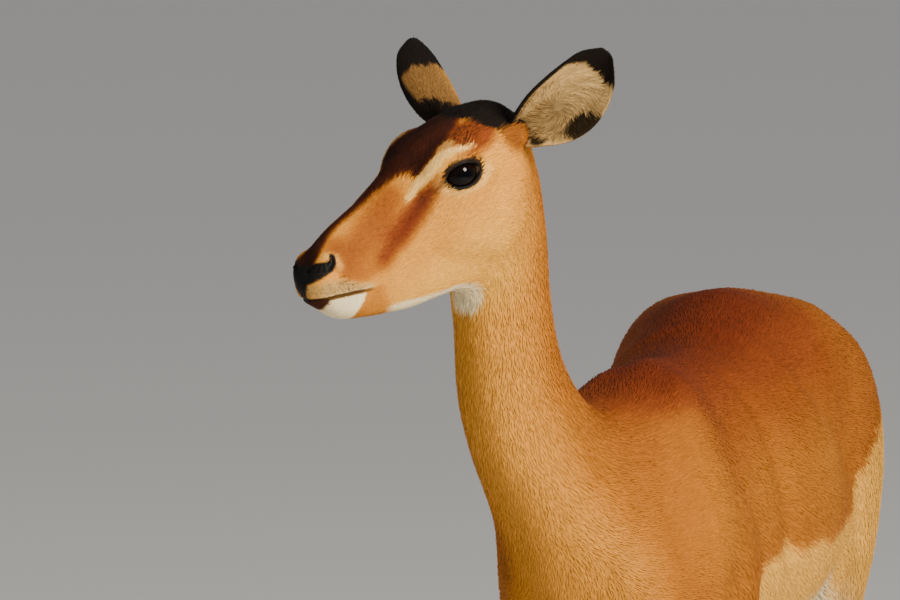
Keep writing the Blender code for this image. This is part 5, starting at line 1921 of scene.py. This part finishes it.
order = np.argsort(root[:, 1] - 0.6 * root[:, 2])
pieces = max(1, math.ceil(count / MOST_LOCKS))
for number, chosen in enumerate(np.array_split(order, pieces)):
    finish_piece(coat_piece(f"coat_{number + 1}", chosen), "coat")
finish_piece(skin, "coat", *FLESH)
print("coat pieces:", pieces, "flesh nodes replaced:", len(FLESH))

# %% [markdown]
# ## Floor, light and camera
#
# A pale floor and a pale surround keep the colours true. The key light is large and a little warm. It
# stands to the camera's right and somewhat above her, like a low sun, with a weak light from the left
# and a wide one overhead. The camera looks from a little to her left of straight ahead and slightly
# down on her.

# %% Floor and surround
FLOOR_HALF = 30
ground = bmesh.new()
bmesh.ops.create_grid(ground, x_segments=1, y_segments=1, size=FLOOR_HALF)
floor = object_from("floor", ground)
floor_material, tree, shader = material("pale floor")
shader.inputs["Base Color"].default_value = (0.76, 0.75, 0.73, 1)
shader.inputs["Roughness"].default_value = 0.9
floor.data.materials.append(floor_material)
floor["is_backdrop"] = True

world = bpy.data.worlds.new("pale surround")
world.use_nodes = True
world.node_tree.nodes["Background"].inputs["Color"].default_value = (0.90, 0.90, 0.90, 1)
world.node_tree.nodes["Background"].inputs["Strength"].default_value = 0.40
bpy.context.scene.world = world
print("floor:", 2 * FLOOR_HALF, "m across")

# %% Lights
VIEW_ROUND, VIEW_UP, VIEW_FAR = math.radians(14), math.radians(8), 9.0
right = Vector((math.cos(VIEW_ROUND), math.sin(VIEW_ROUND), 0))
above = Vector((-math.sin(VIEW_ROUND) * math.sin(VIEW_UP), math.cos(VIEW_ROUND) * math.sin(VIEW_UP),
                math.cos(VIEW_UP)))
back = Vector((math.sin(VIEW_ROUND) * math.cos(VIEW_UP), -math.cos(VIEW_ROUND) * math.cos(VIEW_UP),
               math.sin(VIEW_UP)))
# the middle of the view: left of her withers and above them, so that head and back both show
target = Vector((0, -0.16, 0.864)) + SHIFT - right * 0.193 + above * 0.062


def area_light(name, place, size, power, colour):
    data = bpy.data.lights.new(name, "AREA")
    data.shape, data.size, data.energy, data.color = "DISK", size, power, colour
    lamp = bpy.data.objects.new(name, data)
    bpy.context.scene.collection.objects.link(lamp)
    lamp.location = place
    lamp.rotation_euler = (target - lamp.location).to_track_quat("-Z", "Y").to_euler()
    lamp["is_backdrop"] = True


area_light("key", target + right * 2.2 + back * 2.4 + Vector((0, 0, 1.15)), 1.1, 250, (1.0, 0.92, 0.79))
area_light("fill", target - right * 3.0 + back * 2.0 + Vector((0, 0, 0.8)), 2.6, 16, (1.0, 0.97, 0.93))
area_light("top", target + Vector((0, 0.6, 3.2)), 2.5, 16, (1.0, 0.98, 0.94))
print("lights look at", [round(v, 2) for v in target])

# %% Camera
camera = bpy.data.cameras.new("camera")
camera.lens, camera.sensor_width = 352, 36
camera.clip_end = 100
eye_of_view = bpy.data.objects.new("camera", camera)
bpy.context.scene.collection.objects.link(eye_of_view)
eye_of_view.location = target + back * VIEW_FAR
eye_of_view.rotation_euler = (-back).to_track_quat("-Z", "Y").to_euler()
bpy.context.scene.camera = eye_of_view
print("camera:", camera.lens, "mm lens,", VIEW_FAR, "m away")

# %% Sizes and the end
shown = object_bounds()
for name, (low, high) in (("packed", CAD_BOX), ("shown", shown)):
    print(name, [round(v, 3) for v in low], [round(v, 3) for v in high])
